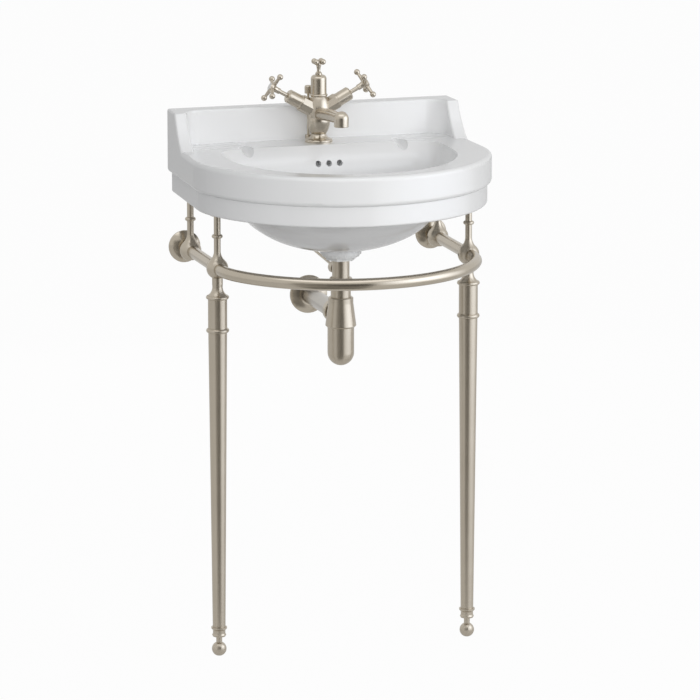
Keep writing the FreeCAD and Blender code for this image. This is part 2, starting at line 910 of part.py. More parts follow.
def make_spout():
    """The forward arm of the casting, rising and tapering to the nozzle."""
    body = document.addObject("PartDesign::Body", "spout_arm")
    stations = (
        (S.tap_waist_radius / 2, 1.12, S.spout_root_height),
        (S.spout_reach / 2, 1, S.spout_middle_height),
        (S.spout_reach, 0.9, S.spout_end_height),
    )
    sketches = []
    for index, (lift, share, middle) in enumerate(stations):
        sketch = add_sketch(body, "XZ_Plane", f"spout_section_{index}", lift)
        draw(sketch, spout_section(S.spout_half_width * share, S.spout_half_height * share, middle))
        sketches.append(sketch)
    arm = body.newObject("PartDesign::AdditiveLoft", "spout_skin")
    arm.Profile = sketches[0]
    arm.Sections = sketches[1:]
    nozzle_wall = S.nozzle_radius - S.aerator_radius
    crown = S.nozzle_dome - S.nozzle_radius
    nozzle = turned("nozzle_blank", [
        (0, S.nozzle_mouth + S.aerator_height),
        (S.aerator_radius, S.nozzle_mouth + S.aerator_height),
        (S.aerator_radius, S.nozzle_mouth),
        (S.nozzle_radius - nozzle_wall / 3, S.nozzle_mouth),
        (S.nozzle_radius, S.nozzle_mouth + nozzle_wall / 3, nozzle_wall / 3, 1),
        (S.nozzle_radius, crown),
        (0, S.nozzle_dome, S.nozzle_radius, 1),
    ])
    place(body, 0, TAP_Y, S.rim_height)
    place(nozzle, 0, TAP_Y - S.spout_reach, S.rim_height)
    bore = cylinder("nozzle_bore", S.aerator_radius, 2 * S.aerator_height)
    place(bore, 0, TAP_Y - S.spout_reach, S.rim_height + S.nozzle_mouth - S.aerator_height)
    return body, nozzle, bore


def make_tap_body():
    """The whole casting with its valve bores, inlets and fixing holes."""
    spout, nozzle, nozzle_bore = make_spout()
    lug_height = S.tap_base_height + S.lift_lug_wall
    lug = cylinder("lift_rod_lug", S.lift_rod_radius + S.lift_lug_wall, lug_height)
    place(lug, -S.lift_side, TAP_Y + S.lift_behind, S.rim_height)
    solids = [make_tap_core(), spout, nozzle, lug]
    bores = [nozzle_bore]
    for side, sign in SIDES.items():
        solids.append(on_valve(prism(f"arm_{side}", 8, S.arm_radius, S.arm_length), sign))
        bore = cylinder(f"valve_bore_{side}", S.cartridge_radius + S.fit, S.arm_length)
        turn = tilt(sign)
        place(
            bore,
            sign * S.cartridge_start * cosine(S.valve_elevation),
            TAP_Y,
            S.rim_height + S.valve_height + S.cartridge_start * sine(S.valve_elevation),
            turn,
        )
        bores.append(bore)
        inlet = cylinder(f"inlet_{side}", S.inlet_radius, S.inlet_depth + S.tap_spigot_depth)
        place(inlet, sign * S.inlet_spread, TAP_Y - S.inlet_ahead, S.rim_height - 2 * S.tap_spigot_depth)
        bores.append(inlet)
    stud_hole = cylinder("stud_hole", S.stud_radius + S.fit, S.stud_length)
    place(stud_hole, 0, TAP_Y + S.stud_offset, S.rim_height + S.stud_offset + S.fit - S.stud_length)
    rod_hole = cylinder("lug_hole", S.lift_rod_radius + S.fit, 3 * lug_height)
    place(rod_hole, -S.lift_side, TAP_Y + S.lift_behind, S.rim_height - lug_height)
    bores += [stud_hole, rod_hole]
    piece("tap_body", cut("tap_casting", fuse("tap_blank", solids), bores))


def make_tap_small_parts():
    """Seal, aerator, tower, finial and the fixing under the deck."""
    seal = turned("seal_ring", [
        (S.seal_inner_radius + S.fit, 0),
        (S.seal_outer_radius - S.fit, 0),
        (S.seal_outer_radius - S.fit, S.seal_thickness),
        (S.seal_inner_radius + S.fit, S.seal_thickness),
    ])
    piece("tap_base_seal", place(seal, 0, TAP_Y, S.rim_height))
    rim = S.aerator_radius - S.fit
    mesh_depth = S.aerator_height / 4
    lip = S.aerator_radius / 6
    aerator = turned("aerator_insert", [
        (0, mesh_depth),
        (rim - 1.3 * lip, mesh_depth),
        (rim - lip, 0),
        (rim, 0),
        (rim, S.aerator_height),
        (0, S.aerator_height),
    ])
    piece("spout_aerator", place(aerator, 0, TAP_Y - S.spout_reach, S.rim_height + S.nozzle_mouth))
    shoulder = S.rim_height + S.tap_shoulder_height
    bead = S.tower_ring_height / 2
    crown = S.tower_radius / 2
    tower = turned("tower_turning", [
        (0, 0),
        (S.tower_ring_radius - bead, 0),
        (S.tower_ring_radius, bead, bead, 1),
        (S.tower_ring_radius - bead, S.tower_ring_height, bead, 1),
        (S.tower_radius, S.tower_ring_height),
        (S.tower_radius, S.tower_height - crown),
        (S.tower_radius - crown, S.tower_height, crown, 1),
        (0, S.tower_height),
    ])
    piece("tap_tower", place(tower, 0, TAP_Y, shoulder))
    seat = 0.85 * crown
    waist = 0.6 * S.finial_ball_radius
    hub = 0.9 * S.finial_ball_radius
    hub_low = S.finial_ball_height - S.finial_ball_radius
    hub_top = S.finial_ball_height + waist
    stem = turned("finial_stem", [
        (0, S.tower_height),
        (seat, S.tower_height),
        (seat, S.tower_height + waist),
        (waist, S.tower_height + 2 * waist),
        (waist, S.tower_height + 3 * waist),
        (hub, hub_low),
        (hub, hub_top),
        (0, hub_top),
    ])
    spokes = (S.finial_spoke_root, S.finial_spoke_tip)
    height = S.finial_ball_height
    arms = cross_arms("finial", S.finial_spread, spokes, S.finial_ball_radius, height, 45)
    finial = fuse("finial_cross", [stem] + arms)
    piece("tap_finial", place(finial, 0, TAP_Y, shoulder))


def cross_arms(name, reach, radii, ball_radius, height, first_angle):
    """Four tapered arms at right angles, each ending in a ball, at a height on the upright axis."""
    thick, thin = radii
    join = reach - root(ball_radius * ball_radius - thin * thin)
    arms = []
    for index in range(4):
        arm = turned(f"{name}_arm_{index}", [
            (0, 0),
            (thick, 0),
            (thin, join),
            (0, reach + ball_radius, ball_radius, 1),
        ])
        turn = FreeCAD.Rotation(FreeCAD.Vector(0, 0, 1), first_angle + 90 * index)
        arms.append(place(arm, 0, 0, height, turn.multiply(ALONG_X)))
    return arms


def make_tap_fixing():
    """Stud, horseshoe plate and nut that clamp the tap to the deck from below."""
    bottom = S.rim_height - S.deck_thickness
    stud = cylinder("fixing_stud", S.stud_radius, S.stud_length)
    stud_y = TAP_Y + S.stud_offset
    piece("tap_fixing_stud", place(stud, 0, stud_y, S.rim_height + S.stud_offset - S.stud_length))
    plate = cylinder("plate_disc", S.plate_radius, S.plate_thickness)
    place(plate, 0, TAP_Y, bottom - S.plate_thickness)
    mouth = 2 * (S.inlet_spread + S.inlet_radius + S.plate_thickness)
    slot = block("plate_slot", mouth, S.plate_radius + S.inlet_radius, 3 * S.plate_thickness)
    place(slot, -mouth / 2, TAP_Y - S.plate_radius, bottom - 2 * S.plate_thickness)
    hole = cylinder("plate_hole", S.stud_radius + S.fit, 3 * S.plate_thickness)
    place(hole, 0, stud_y, bottom - 2 * S.plate_thickness)
    piece("tap_fixing_plate", cut("horseshoe_plate", plate, [slot, hole]))
    nut_height = 1.6 * S.stud_radius
    nut = prism("fixing_nut_blank", 6, 1.9 * S.stud_radius, nut_height)
    nut_z = bottom - S.plate_thickness - nut_height
    place(nut, 0, stud_y, nut_z)
    thread = cylinder("fixing_nut_thread", S.stud_radius + S.fit, 3 * nut_height)
    place(thread, 0, stud_y, nut_z - nut_height)
    piece("tap_fixing_nut", cut("fixing_nut", nut, [thread]))


def make_valve(name, sign, rest_turn):
    """One valve: bonnet, ceramic cartridge, spindle, cross handle and its porcelain disc."""
    gap = S.fit
    bore = S.cartridge_radius + gap
    neck = S.spindle_radius + 6 * gap
    end_wall = 5
    lip = 2.5
    flare = 1
    bonnet = turned(f"{name}_bonnet_turning", [
        (bore, S.arm_length),
        (S.bonnet_radius + flare, S.arm_length),
        (S.bonnet_radius + flare, S.arm_length + lip),
        (S.bonnet_radius, S.arm_length + lip + flare),
        (S.bonnet_radius, S.bonnet_end - lip),
        (S.bonnet_radius - lip, S.bonnet_end),
        (neck, S.bonnet_end),
        (neck, S.bonnet_end - end_wall),
        (bore, S.bonnet_end - end_wall),
    ])
    piece(f"{name}_bonnet", on_valve(bonnet, sign))
    spindle_start = S.cartridge_start + S.cartridge_radius
    hole = S.spindle_radius + gap
    cartridge = turned(f"{name}_cartridge_turning", [
        (0, S.cartridge_start + gap),
        (S.cartridge_radius, S.cartridge_start + gap),
        (S.cartridge_radius, S.bonnet_end - end_wall - gap),
        (hole, S.bonnet_end - end_wall - gap),
        (hole, spindle_start),
        (0, spindle_start),
    ])
    piece(f"{name}_cartridge", on_valve(cartridge, sign))
    socket = 8
    spindle = turned(f"{name}_spindle_turning", [
        (0, spindle_start + gap),
        (S.spindle_radius, spindle_start + gap),
        (S.spindle_radius, S.handle_reach - socket / 2),
        (0, S.handle_reach - socket / 2),
    ])
    piece(f"{name}_spindle", on_valve(spindle, sign))
    seat = S.handle_reach - socket / 2 + gap
    collar = S.spindle_radius + 1.5
    disc_edge = 1.5
    disc_low = S.handle_reach + socket / 2
    disc_high = disc_low + disc_edge
    hub = turned(f"{name}_hub", [
        (0, seat),
        (hole, seat),
        (hole, S.handle_reach - 2 * socket),
        (collar, S.handle_reach - 2 * socket),
        (collar, S.handle_reach - 1.5 * socket),
        (S.handle_hub_radius, S.handle_reach, 2 * socket, -1),
        (S.handle_hub_radius, disc_low - disc_edge),
        (S.handle_disc_radius + gap, disc_high),
        (S.handle_disc_radius + gap, disc_low),
        (0, disc_low),
    ])
    spokes = (S.handle_spoke_root, S.handle_spoke_tip)
    arms = cross_arms(name, S.handle_spoke_length, spokes, S.handle_ball_radius, S.handle_reach, 0)
    shell = fuse(f"{name}_cross", [hub] + arms)
    socket_bore = cylinder(f"{name}_socket", hole, 3 * socket)
    place(socket_bore, 0, 0, seat - 3 * socket)
    disc_seat = cylinder(f"{name}_disc_seat", S.handle_disc_radius + gap, socket)
    place(disc_seat, 0, 0, disc_low)
    handle = cut(f"{name}_cross_handle", shell, [socket_bore, disc_seat])
    piece(f"{name}_handle", on_valve(handle, sign, rest_turn.value))
    bulge = as_size(1.5)
    disc = turned(f"{name}_disc_turning", [
        (0, disc_low),
        (S.handle_disc_radius, disc_low),
        (S.handle_disc_radius, disc_high),
        (0, disc_high + bulge, dome_radius(S.handle_disc_radius, bulge), 1),
    ])
    piece(f"{name}_disc", on_valve(disc, sign))


make_tap_body()
make_tap_small_parts()
make_tap_fixing()
make_valve("hot", -1, S.hot_rest_turn)
make_valve("cold", 1, S.cold_rest_turn)


# Pop-up waste: a plug that a knob behind the tap lifts through a pivoting rod

PORT_Z = BOWL_FLOOR - S.port_drop
LIFT_RUN = S.waste_from_wall - S.tap_from_wall + S.lift_behind
LIFT_DISTANCE = root(S.lift_side * S.lift_side + LIFT_RUN * LIFT_RUN)
PORT_TURN = FreeCAD.Rotation(
    FreeCAD.Vector(0, 0, 1),
    math.degrees(math.asin(S.lift_side.value / LIFT_DISTANCE.value)),
)
OUTER_ARM = LIFT_DISTANCE - S.pivot_arm
ROD_RISE = math.degrees(math.atan2(S.lift_travel.value / 2, OUTER_ARM.value))
PLUG_TRAVEL = S.lift_travel * S.pivot_arm / OUTER_ARM


def along_port(distance):
    """Place on the line from the waste's axis to the lift rod, at a distance from the axis."""
    return -distance * S.lift_side / LIFT_DISTANCE, WASTE_Y + distance * LIFT_RUN / LIFT_DISTANCE


def at_port(item, z=PORT_Z, rotation=UPRIGHT):
    """Place a piece that was built about the waste's axis with the port along its own +Y."""
    return place(item, 0, WASTE_Y, z, PORT_TURN.multiply(rotation))


def make_waste():
    """Flange, seals, back nut and tail of the waste."""
    floor = BOWL_FLOOR
    bore = S.tail_radius + S.fit
    tube_bottom = BOSS_BOTTOM - S.back_nut_height
    flange_low = floor + S.seal_thickness
    flange_top = flange_low + S.waste_flange_thickness
    lip = S.waste_flange_thickness / 2
    flange = turned("waste_flange_turning", [
        (bore, tube_bottom),
        (S.waste_tube_radius, tube_bottom),
        (S.waste_tube_radius, flange_low),
        (S.waste_flange_radius - lip, flange_low),
        (S.waste_flange_radius, flange_low + lip, lip, 1),
        (S.waste_flange_radius - lip, flange_top, lip, 1),
        (bore + 2 * lip, flange_top),
        (bore, flange_top - 2 * lip),
    ])
    piece("waste_flange", place(flange, 0, WASTE_Y, 0))
    seal = turned("waste_seal_ring", [
        (S.waste_tube_radius + S.fit, floor),
        (S.waste_flange_radius - 2 * lip, floor),
        (S.waste_flange_radius - 2 * lip, flange_low),
        (S.waste_tube_radius + S.fit, flange_low),
    ])
    piece("waste_seal", place(seal, 0, WASTE_Y, 0))
    hub = prism("back_nut_hub", 6, S.back_nut_hub_radius, S.back_nut_height)
    place(hub, 0, WASTE_Y, tube_bottom)
    blanks = [hub]
    for index in range(2):
        rim = prism(f"back_nut_rim_{index}", 12, S.back_nut_radius, S.back_nut_rim)
        turn = FreeCAD.Rotation(FreeCAD.Vector(0, 0, 1), 15 * index)
        blanks.append(place(rim, 0, WASTE_Y, BOSS_BOTTOM - S.back_nut_rim, turn))
    nut = fuse("back_nut_blank", blanks)
    thread = cylinder("back_nut_thread", S.waste_tube_radius + S.fit, 3 * S.back_nut_height)
    place(thread, 0, WASTE_Y, tube_bottom - S.back_nut_height)
    piece("waste_back_nut", cut("back_nut", nut, [thread]))
    make_tail(floor)


def make_tail(floor):
    """Tail tube with the side port that the pivot rod passes through."""
    inner = S.tail_radius - S.tail_wall
    top = S.port_drop - (floor - BOSS_BOTTOM)
    low = S.trap_shoulder_drop + S.trap_shoulder_height - S.port_drop
    tube = cylinder("tail_tube", S.tail_radius, top + low)
    place(tube, 0, 0, -low)
    room = S.pivot_ball_radius + S.pivot_ball_room
    port_radius = room + S.neck_wall
    port = cylinder("tail_port", port_radius, S.pivot_arm)
    place(port, 0, 0, 0, ALONG_Y)
    hollow = cylinder("tail_hollow", inner, 3 * (top + low))
    place(hollow, 0, 0, -2 * (top + low))
    bore = cylinder("port_bore", room, 2 * S.pivot_arm)
    place(bore, 0, 0, 0, ALONG_Y)
    tail = cut("tail_blank", fuse("tail_solid", [tube, port]), [hollow, bore])
    piece("waste_tail", at_port(tail))
    cap = 4
    grip = 6
    nut_wall = 2.2
    chamfer = 1
    rod_way = S.pivot_rod_radius + 2
    nut = turned("port_nut_turning", [
        (port_radius + S.fit, S.pivot_arm - grip),
        (port_radius + nut_wall, S.pivot_arm - grip),
        (port_radius + nut_wall, S.pivot_arm + room + cap - chamfer),
        (port_radius + nut_wall - chamfer, S.pivot_arm + room + cap),
        (rod_way, S.pivot_arm + room + cap),
        (rod_way, S.pivot_arm + room),
        (room, S.pivot_arm + room / 2),
        (room, S.pivot_arm),
        (port_radius + S.fit, S.pivot_arm),
    ])
    piece("pivot_port_nut", at_port(nut, rotation=ALONG_Y))


def make_pop_up():
    """Plug, pivot rod, clevis, lift rod and knob, with the knob up and the waste shut."""
    flange_top = BOWL_FLOOR + S.seal_thickness + S.waste_flange_thickness
    cap_low = flange_top + S.plug_gap
    eye_z = PORT_Z - PLUG_TRAVEL / 2
    stem_radius = 2 * S.pivot_rod_radius
    stem_bottom = eye_z - 2 * stem_radius
    curve = S.plug_thickness / 2
    bulge = 3
    plug = turned("plug_turning", [
        (0, stem_bottom),
        (stem_radius, stem_bottom),
        (stem_radius, cap_low),
        (S.plug_radius - curve, cap_low),
        (S.plug_radius, cap_low + curve, curve, 1),
        (0, cap_low + 2 * curve + bulge, dome_radius(S.plug_radius, curve + bulge), 1),
    ])
    place(plug, 0, WASTE_Y, 0)
    fin_half = S.tail_radius - S.tail_wall - S.plug_gap
    fin_low = PORT_Z + 2 * S.pivot_ball_radius
    fins = []
    fin_thickness = 2
    fin_root = 1
    eye_room = 1.1
    overhang = 8
    for index in range(2):
        angle = 45 + 90 * index
        ahead, aside = math.cos(math.radians(angle)), math.sin(math.radians(angle))
        fin = block(f"plug_fin_{index}", 2 * fin_half, fin_thickness, cap_low - fin_low + fin_root)
        corner_x = fin_thickness / 2 * aside - fin_half * ahead
        corner_y = WASTE_Y - fin_half * aside - fin_thickness / 2 * ahead
        turn = FreeCAD.Rotation(FreeCAD.Vector(0, 0, 1), angle)
        fins.append(place(fin, corner_x, corner_y, fin_low, turn))
    eye = cylinder("plug_eye", S.pivot_rod_radius + eye_room, 6 * stem_radius)
    place(eye, *along_port(-3 * stem_radius), eye_z, PORT_TURN.multiply(ALONG_Y))
    piece("pop_up_plug", cut("plug_body", fuse("plug_blank", [plug] + fins), [eye]))
    inner_end = 1.2 * stem_radius
    rod_length = LIFT_DISTANCE + inner_end + overhang
    rod = cylinder("pivot_rod_bar", S.pivot_rod_radius, rod_length)
    place(rod, 0, 0, -inner_end - S.pivot_arm)
    ball = document.addObject("Part::Sphere", "pivot_ball")
    bind(ball, Radius=S.pivot_ball_radius)
    belt = cylinder("pivot_belt", S.pivot_belt_radius, S.pivot_belt_width)
    place(belt, -S.pivot_belt_width / 2, 0, 0, ALONG_X)
    lever = fuse("pivot_lever", [rod, ball, belt])
    lean = FreeCAD.Rotation(FreeCAD.Vector(1, 0, 0), ROD_RISE - 90)
    place(lever, *along_port(S.pivot_arm), PORT_Z, PORT_TURN.multiply(lean))
    piece("pivot_rod", lever)
    make_lift()


def make_lift():
    """Upright rod with its knob, and the clevis strap that hangs from it."""
    strap_low = PORT_Z + S.lift_travel / 2 - S.clevis_width / 2
    strap = block("clevis_strap", S.clevis_width, S.clevis_thickness, S.clevis_height)
    rod_gap = 1
    eye_room = 1.3
    strap_y = LIFT_DISTANCE - S.lift_rod_radius - S.clevis_thickness - rod_gap
    place(strap, -S.clevis_width / 2, strap_y, 0)
    grip_height = S.clevis_height / 4
    grip = cylinder("clevis_grip", S.clevis_width / 2, grip_height)
    place(grip, 0, LIFT_DISTANCE, S.clevis_height - grip_height)
    grip_bore = cylinder("clevis_bore", S.lift_rod_radius + S.fit, 3 * grip_height)
    place(grip_bore, 0, LIFT_DISTANCE, S.clevis_height - 2 * grip_height)
    eye = cylinder("clevis_eye", S.pivot_rod_radius + eye_room, 6 * S.clevis_thickness)
    place(eye, 0, strap_y - 2 * S.clevis_thickness, S.clevis_width / 2, ALONG_Y)
    clevis = cut("clevis_body", fuse("clevis_blank", [strap, grip]), [grip_bore, eye])
    piece("lift_clevis", at_port(clevis, strap_low))
    rod_low = strap_low + S.clevis_height - grip_height
    knob_z = S.rim_height + S.knob_bottom
    socket = S.knob_height / 2
    rod = cylinder("lift_rod_bar", S.lift_rod_radius, knob_z + socket - rod_low)
    piece("lift_rod", place(rod, -S.lift_side, TAP_Y + S.lift_behind, rod_low))
    hole = S.lift_rod_radius + S.fit
    curve = S.knob_radius / 2
    chamfer = 2
    knob = turned("lift_knob_turning", [
        (hole, 0),
        (S.knob_radius - chamfer, 0),
        (S.knob_radius, chamfer),
        (S.knob_radius, S.knob_height - curve),
        (S.knob_radius - curve, S.knob_height, curve, 1),
        (0, S.knob_height),
        (0, socket),
        (hole, socket),
    ])
    piece("lift_knob", place(knob, -S.lift_side, TAP_Y + S.lift_behind, knob_z))


make_waste()
make_pop_up()


# Bottle trap and its outlet to the wall

def make_trap():
    """Inlet nut, cone body, dip tube, seal and cup."""
    bore = S.tail_radius + S.fit
    nut_top = -S.inlet_nut_drop
    nut_low = nut_top - S.inlet_nut_height
    shoulder_top = -S.trap_shoulder_drop
    shoulder_low = shoulder_top - S.trap_shoulder_height
    skirt_low = -S.trap_skirt_drop
    neck = S.tail_radius + S.neck_wall
    lead = 1.5
    seat = nut_low + 8
    nut = turned("inlet_nut_turning", [
        (bore, nut_top),
        (bore, seat),
        (neck + S.fit, seat),
        (neck + S.fit, nut_low),
        (S.nut_radius, nut_low),
        (S.nut_radius, nut_top - 2 * lead),
        (S.nut_radius - lead, nut_top),
    ])
    piece("trap_inlet_nut", place(nut, 0, WASTE_Y, BOWL_FLOOR))
    cup_grip = 4
    cup_top = skirt_low + cup_grip
    ledge = 2
    cavity = S.cup_radius - S.cup_wall - ledge
    lip = 3
    neck_top = seat - S.fit
    body = turned("trap_cone", [
        (0, skirt_low),
        (S.trap_skirt_radius - lip, skirt_low),
        (S.trap_skirt_radius, skirt_low + lip),
        (S.trap_shoulder_radius, shoulder_low),
        (S.trap_shoulder_radius, shoulder_top - lead),
        (S.trap_shoulder_radius - lead, shoulder_top),
        (neck, shoulder_top),
        (neck, neck_top),
        (0, neck_top),
    ])
    inside = turned("trap_inside", [
        (0, skirt_low - lip),
        (S.cup_radius + S.fit, skirt_low - lip),
        (S.cup_radius + S.fit, cup_top + S.seal_thickness),
        (cavity, cup_top + S.seal_thickness),
        (cavity, shoulder_low),
        (bore, shoulder_low),
        (bore, neck_top + lip),
        (0, neck_top + lip),
    ])
    boss = cylinder("outlet_boss", neck, S.outlet_boss_reach)
    place(boss, 0, 0, -S.outlet_drop, ALONG_Y)
    channel = cylinder("outlet_channel", S.tail_radius - 2 * S.tail_wall, 2 * S.outlet_boss_reach)
    place(channel, 0, 0, -S.outlet_drop, ALONG_Y)
    trap = cut("trap_casting", fuse("trap_blank", [body, boss]), [inside, channel])
    piece("trap_body", place(trap, 0, WASTE_Y, BOWL_FLOOR))
    dip_bottom = skirt_low - 0.5 * (S.cup_bottom_drop - S.trap_skirt_drop)
    dip_outer = bore - 2 * S.tail_wall
    dip_inner = dip_outer - S.tail_wall
    dip_lip = 2
    dip = turned("dip_tube_turning", [
        (dip_inner, dip_bottom),
        (dip_outer, dip_bottom),
        (dip_outer, shoulder_low - dip_lip),
        (bore + dip_lip, shoulder_low - dip_lip),
        (bore + dip_lip, shoulder_low),
        (dip_inner, shoulder_low),
    ])
    piece("trap_dip_tube", place(dip, 0, WASTE_Y, BOWL_FLOOR))
    seal = turned("trap_seal_ring", [
        (cavity + S.fit, cup_top),
        (S.cup_radius - S.fit, cup_top),
        (S.cup_radius - S.fit, cup_top + S.seal_thickness),
        (cavity + S.fit, cup_top + S.seal_thickness),
    ])
    piece("trap_seal", place(seal, 0, WASTE_Y, BOWL_FLOOR))
    bottom = -S.cup_bottom_drop
    inner = S.cup_radius - S.cup_wall
    cup = turned("trap_cup_turning", [
        (0, bottom),
        (S.cup_radius, bottom + S.cup_radius, S.cup_radius, 1),
        (S.cup_radius, cup_top),
        (inner, cup_top),
        (inner, bottom + S.cup_radius),
        (0, bottom + S.cup_wall, inner, -1),
    ])
    piece("trap_cup", place(cup, 0, WASTE_Y, BOWL_FLOOR))


def make_outlet():
    """Nut, pipe and wall flange that carry the waste into the wall."""
    height = BOWL_FLOOR - S.outlet_drop
    bore = S.tail_radius + S.fit
    neck = S.tail_radius + S.neck_wall + S.fit
    reach = S.outlet_boss_reach
    lead = 1.5
    nut_near = reach - 6
    nut_far = reach + 10
    nut = turned("outlet_nut_turning", [
        (neck, nut_near),
        (S.nut_radius - lead, nut_near),
        (S.nut_radius, nut_near + lead),
        (S.nut_radius, nut_far - lead),
        (S.nut_radius - lead, nut_far),
        (bore, nut_far),
        (bore, reach + S.fit),
        (neck, reach + S.fit),
    ])
    piece("trap_outlet_nut", place(nut, 0, WASTE_Y, height, ALONG_Y))
    length = S.waste_from_wall - reach
    pipe = turned("outlet_pipe_turning", [
        (S.tail_radius - S.tail_wall, 0),
        (S.tail_radius, 0),
        (S.tail_radius, length),
        (S.tail_radius - S.tail_wall, length),
    ])
    piece("outlet_pipe", place(pipe, 0, WASTE_Y + reach, height, ALONG_Y))
    rose = wall_rose("outlet_rose", S.outlet_flange_radius, S.outlet_flange_depth, bore, 0, height)
    piece("outlet_wall_flange", rose)


def wall_rose(name, radius, depth, bore, x, z):
    """A domed cover plate round a tube, hollow behind, flat against the wall."""
    shell = 2
    collar = 4
    collar_radius = bore + 1.5 * shell
    rose = turned(name, [
        (bore, -depth - collar),
        (collar_radius, -depth - collar),
        (collar_radius, -depth),
        (radius, -depth / 3, 1.2 * radius, 1),
        (radius, 0),
        (radius - shell, 0),
        (radius - shell, -depth / 3),
        (bore, -depth + shell),
    ])
    return place(rose, x, WALL, z, ALONG_Y)


make_trap()
make_outlet()


# Washstand: rail, ball heads, posts, legs and wall fixings

def make_rail():
    """Towel rail bent in one sweep from wall to wall, round the front."""
    body = document.addObject("PartDesign::Body", "rail_tube")
    start = WALL - S.wall_plate_thickness
    spring = LEG_Y - S.rail_straight_past_leg
    plan = d_outline(
        LEG_X,
        start,
        spring,
        S.rail_front_inset - WALL,
        S.rail_fullness,
        S.back_corner_radius,
    )
    path = add_sketch(body, "XY_Plane", "rail_path")
    draw(path, [(-LEG_X, start)] + plan[3:7] + [(LEG_X, start)], closed=False)
    section = add_sketch(body, "XZ_Plane", "rail_section", -start)
    draw_circle(section, -LEG_X, 0, S.rail_radius)
    draw_circle(section, -LEG_X, 0, S.rail_radius - S.rail_wall)
    sweep = body.newObject("PartDesign::AdditivePipe", "rail_sweep")
    sweep.Profile = section
    sweep.Spine = path
    piece("towel_rail", place(body, 0, 0, RAIL_HEIGHT))


def on_ball(radius):
    """Height of the ball's surface above its centre at a given radius."""
    return root(S.head_ball_radius * S.head_ball_radius - radius * radius)


def rail_way(name):
    """The rail's way through a ball."""
    reach = 2 * S.head_ball_radius
    way = cylinder(name + "_rail_way", S.rail_radius + S.fit, 2 * reach)
    place(way, 0, -reach, 0, ALONG_Y)
    return way


def trumpet_top():
    """Corners of a head's upper half, from the ball up to the post."""
    join = 0.7 * S.head_ball_radius
    return [
        (join, on_ball(join), S.head_ball_radius, 1),
        (S.post_radius, S.head_top, 1.2 * S.head_ball_radius, -1),
        (0, S.head_top),
    ]


def make_heads():
    """Ball heads that clamp the rail: the front pair cap the legs, the back pair end in a button."""
    for side, sign in SIDES.items():
        low = -S.head_cap_drop
        cap_top = low + S.head_cap_thickness
        bead = S.head_cap_thickness / 2
        spigot = S.sleeve_radius - S.sleeve_wall - S.fit
        front = turned(f"front_head_turning_{side}", [
            (0, low - S.head_spigot_length),
            (spigot, low - S.head_spigot_length),
            (spigot, low),
            (S.head_cap_radius - bead, low),
            (S.head_cap_radius, low + bead, bead, 1),
            (S.head_cap_radius - bead, cap_top, bead, 1),
            (S.head_neck_radius, cap_top + S.head_ball_radius, S.head_ball_radius, -1),
            (S.head_neck_radius, -on_ball(S.head_neck_radius)),
        ] + trumpet_top())
        button = S.head_button_drop
        rim = root(S.head_ball_radius * S.head_ball_radius - button * button)
        back = turned(f"back_head_turning_{side}", [(0, -button), (rim, -button)] + trumpet_top())
        for place_name, blank, y in (("front", front, LEG_Y), ("back", back, BACK_POST_Y)):
            name = f"{place_name}_head_{side}"
            grub_way = cylinder(name + "_grub_way", S.grub_radius + S.fit, 2 * S.head_ball_radius)
            inward = ALONG_X if sign < 0 else ALONG_X.inverted()
            place(grub_way, 0, 0, 0, inward)
            head = cut(name + "_body", blank, [rail_way(name), grub_way])
            piece(name, place(head, sign * LEG_X, y, RAIL_HEIGHT))


def make_posts():
    """Posts that carry the basin, with a bead part way up, a flat head and a rubber pad."""
    top = UNDERSIDE - S.pad_thickness - RAIL_HEIGHT
    bead = S.post_ring_thickness / 2
    ring = S.post_radius + S.post_ring_bulge
    pads = []
    for row, y in (("front", LEG_Y), ("back", BACK_POST_Y)):
        for side, sign in SIDES.items():
            post = turned(f"{row}_post_turning_{side}", [
                (0, S.head_top),
                (S.post_radius, S.head_top),
                (S.post_radius, S.post_ring_height - bead),
                (ring - bead, S.post_ring_height - bead),
                (ring, S.post_ring_height, bead, 1),
                (ring - bead, S.post_ring_height + bead, bead, 1),
                (S.post_radius, S.post_ring_height + bead),
                (S.post_radius, top - S.post_head_thickness),
                (S.pad_radius, top - S.post_head_thickness),
                (S.pad_radius, top),
                (0, top),
            ])
            piece(f"{row}_post_{side}", place(post, sign * LEG_X, y, RAIL_HEIGHT))
            pad_disc = cylinder(f"{row}_pad_{side}", S.pad_radius, S.pad_thickness)
            pads.append(place(pad_disc, sign * LEG_X, y, UNDERSIDE - S.pad_thickness))
    piece("post_pads", group("post_pad_set", pads))


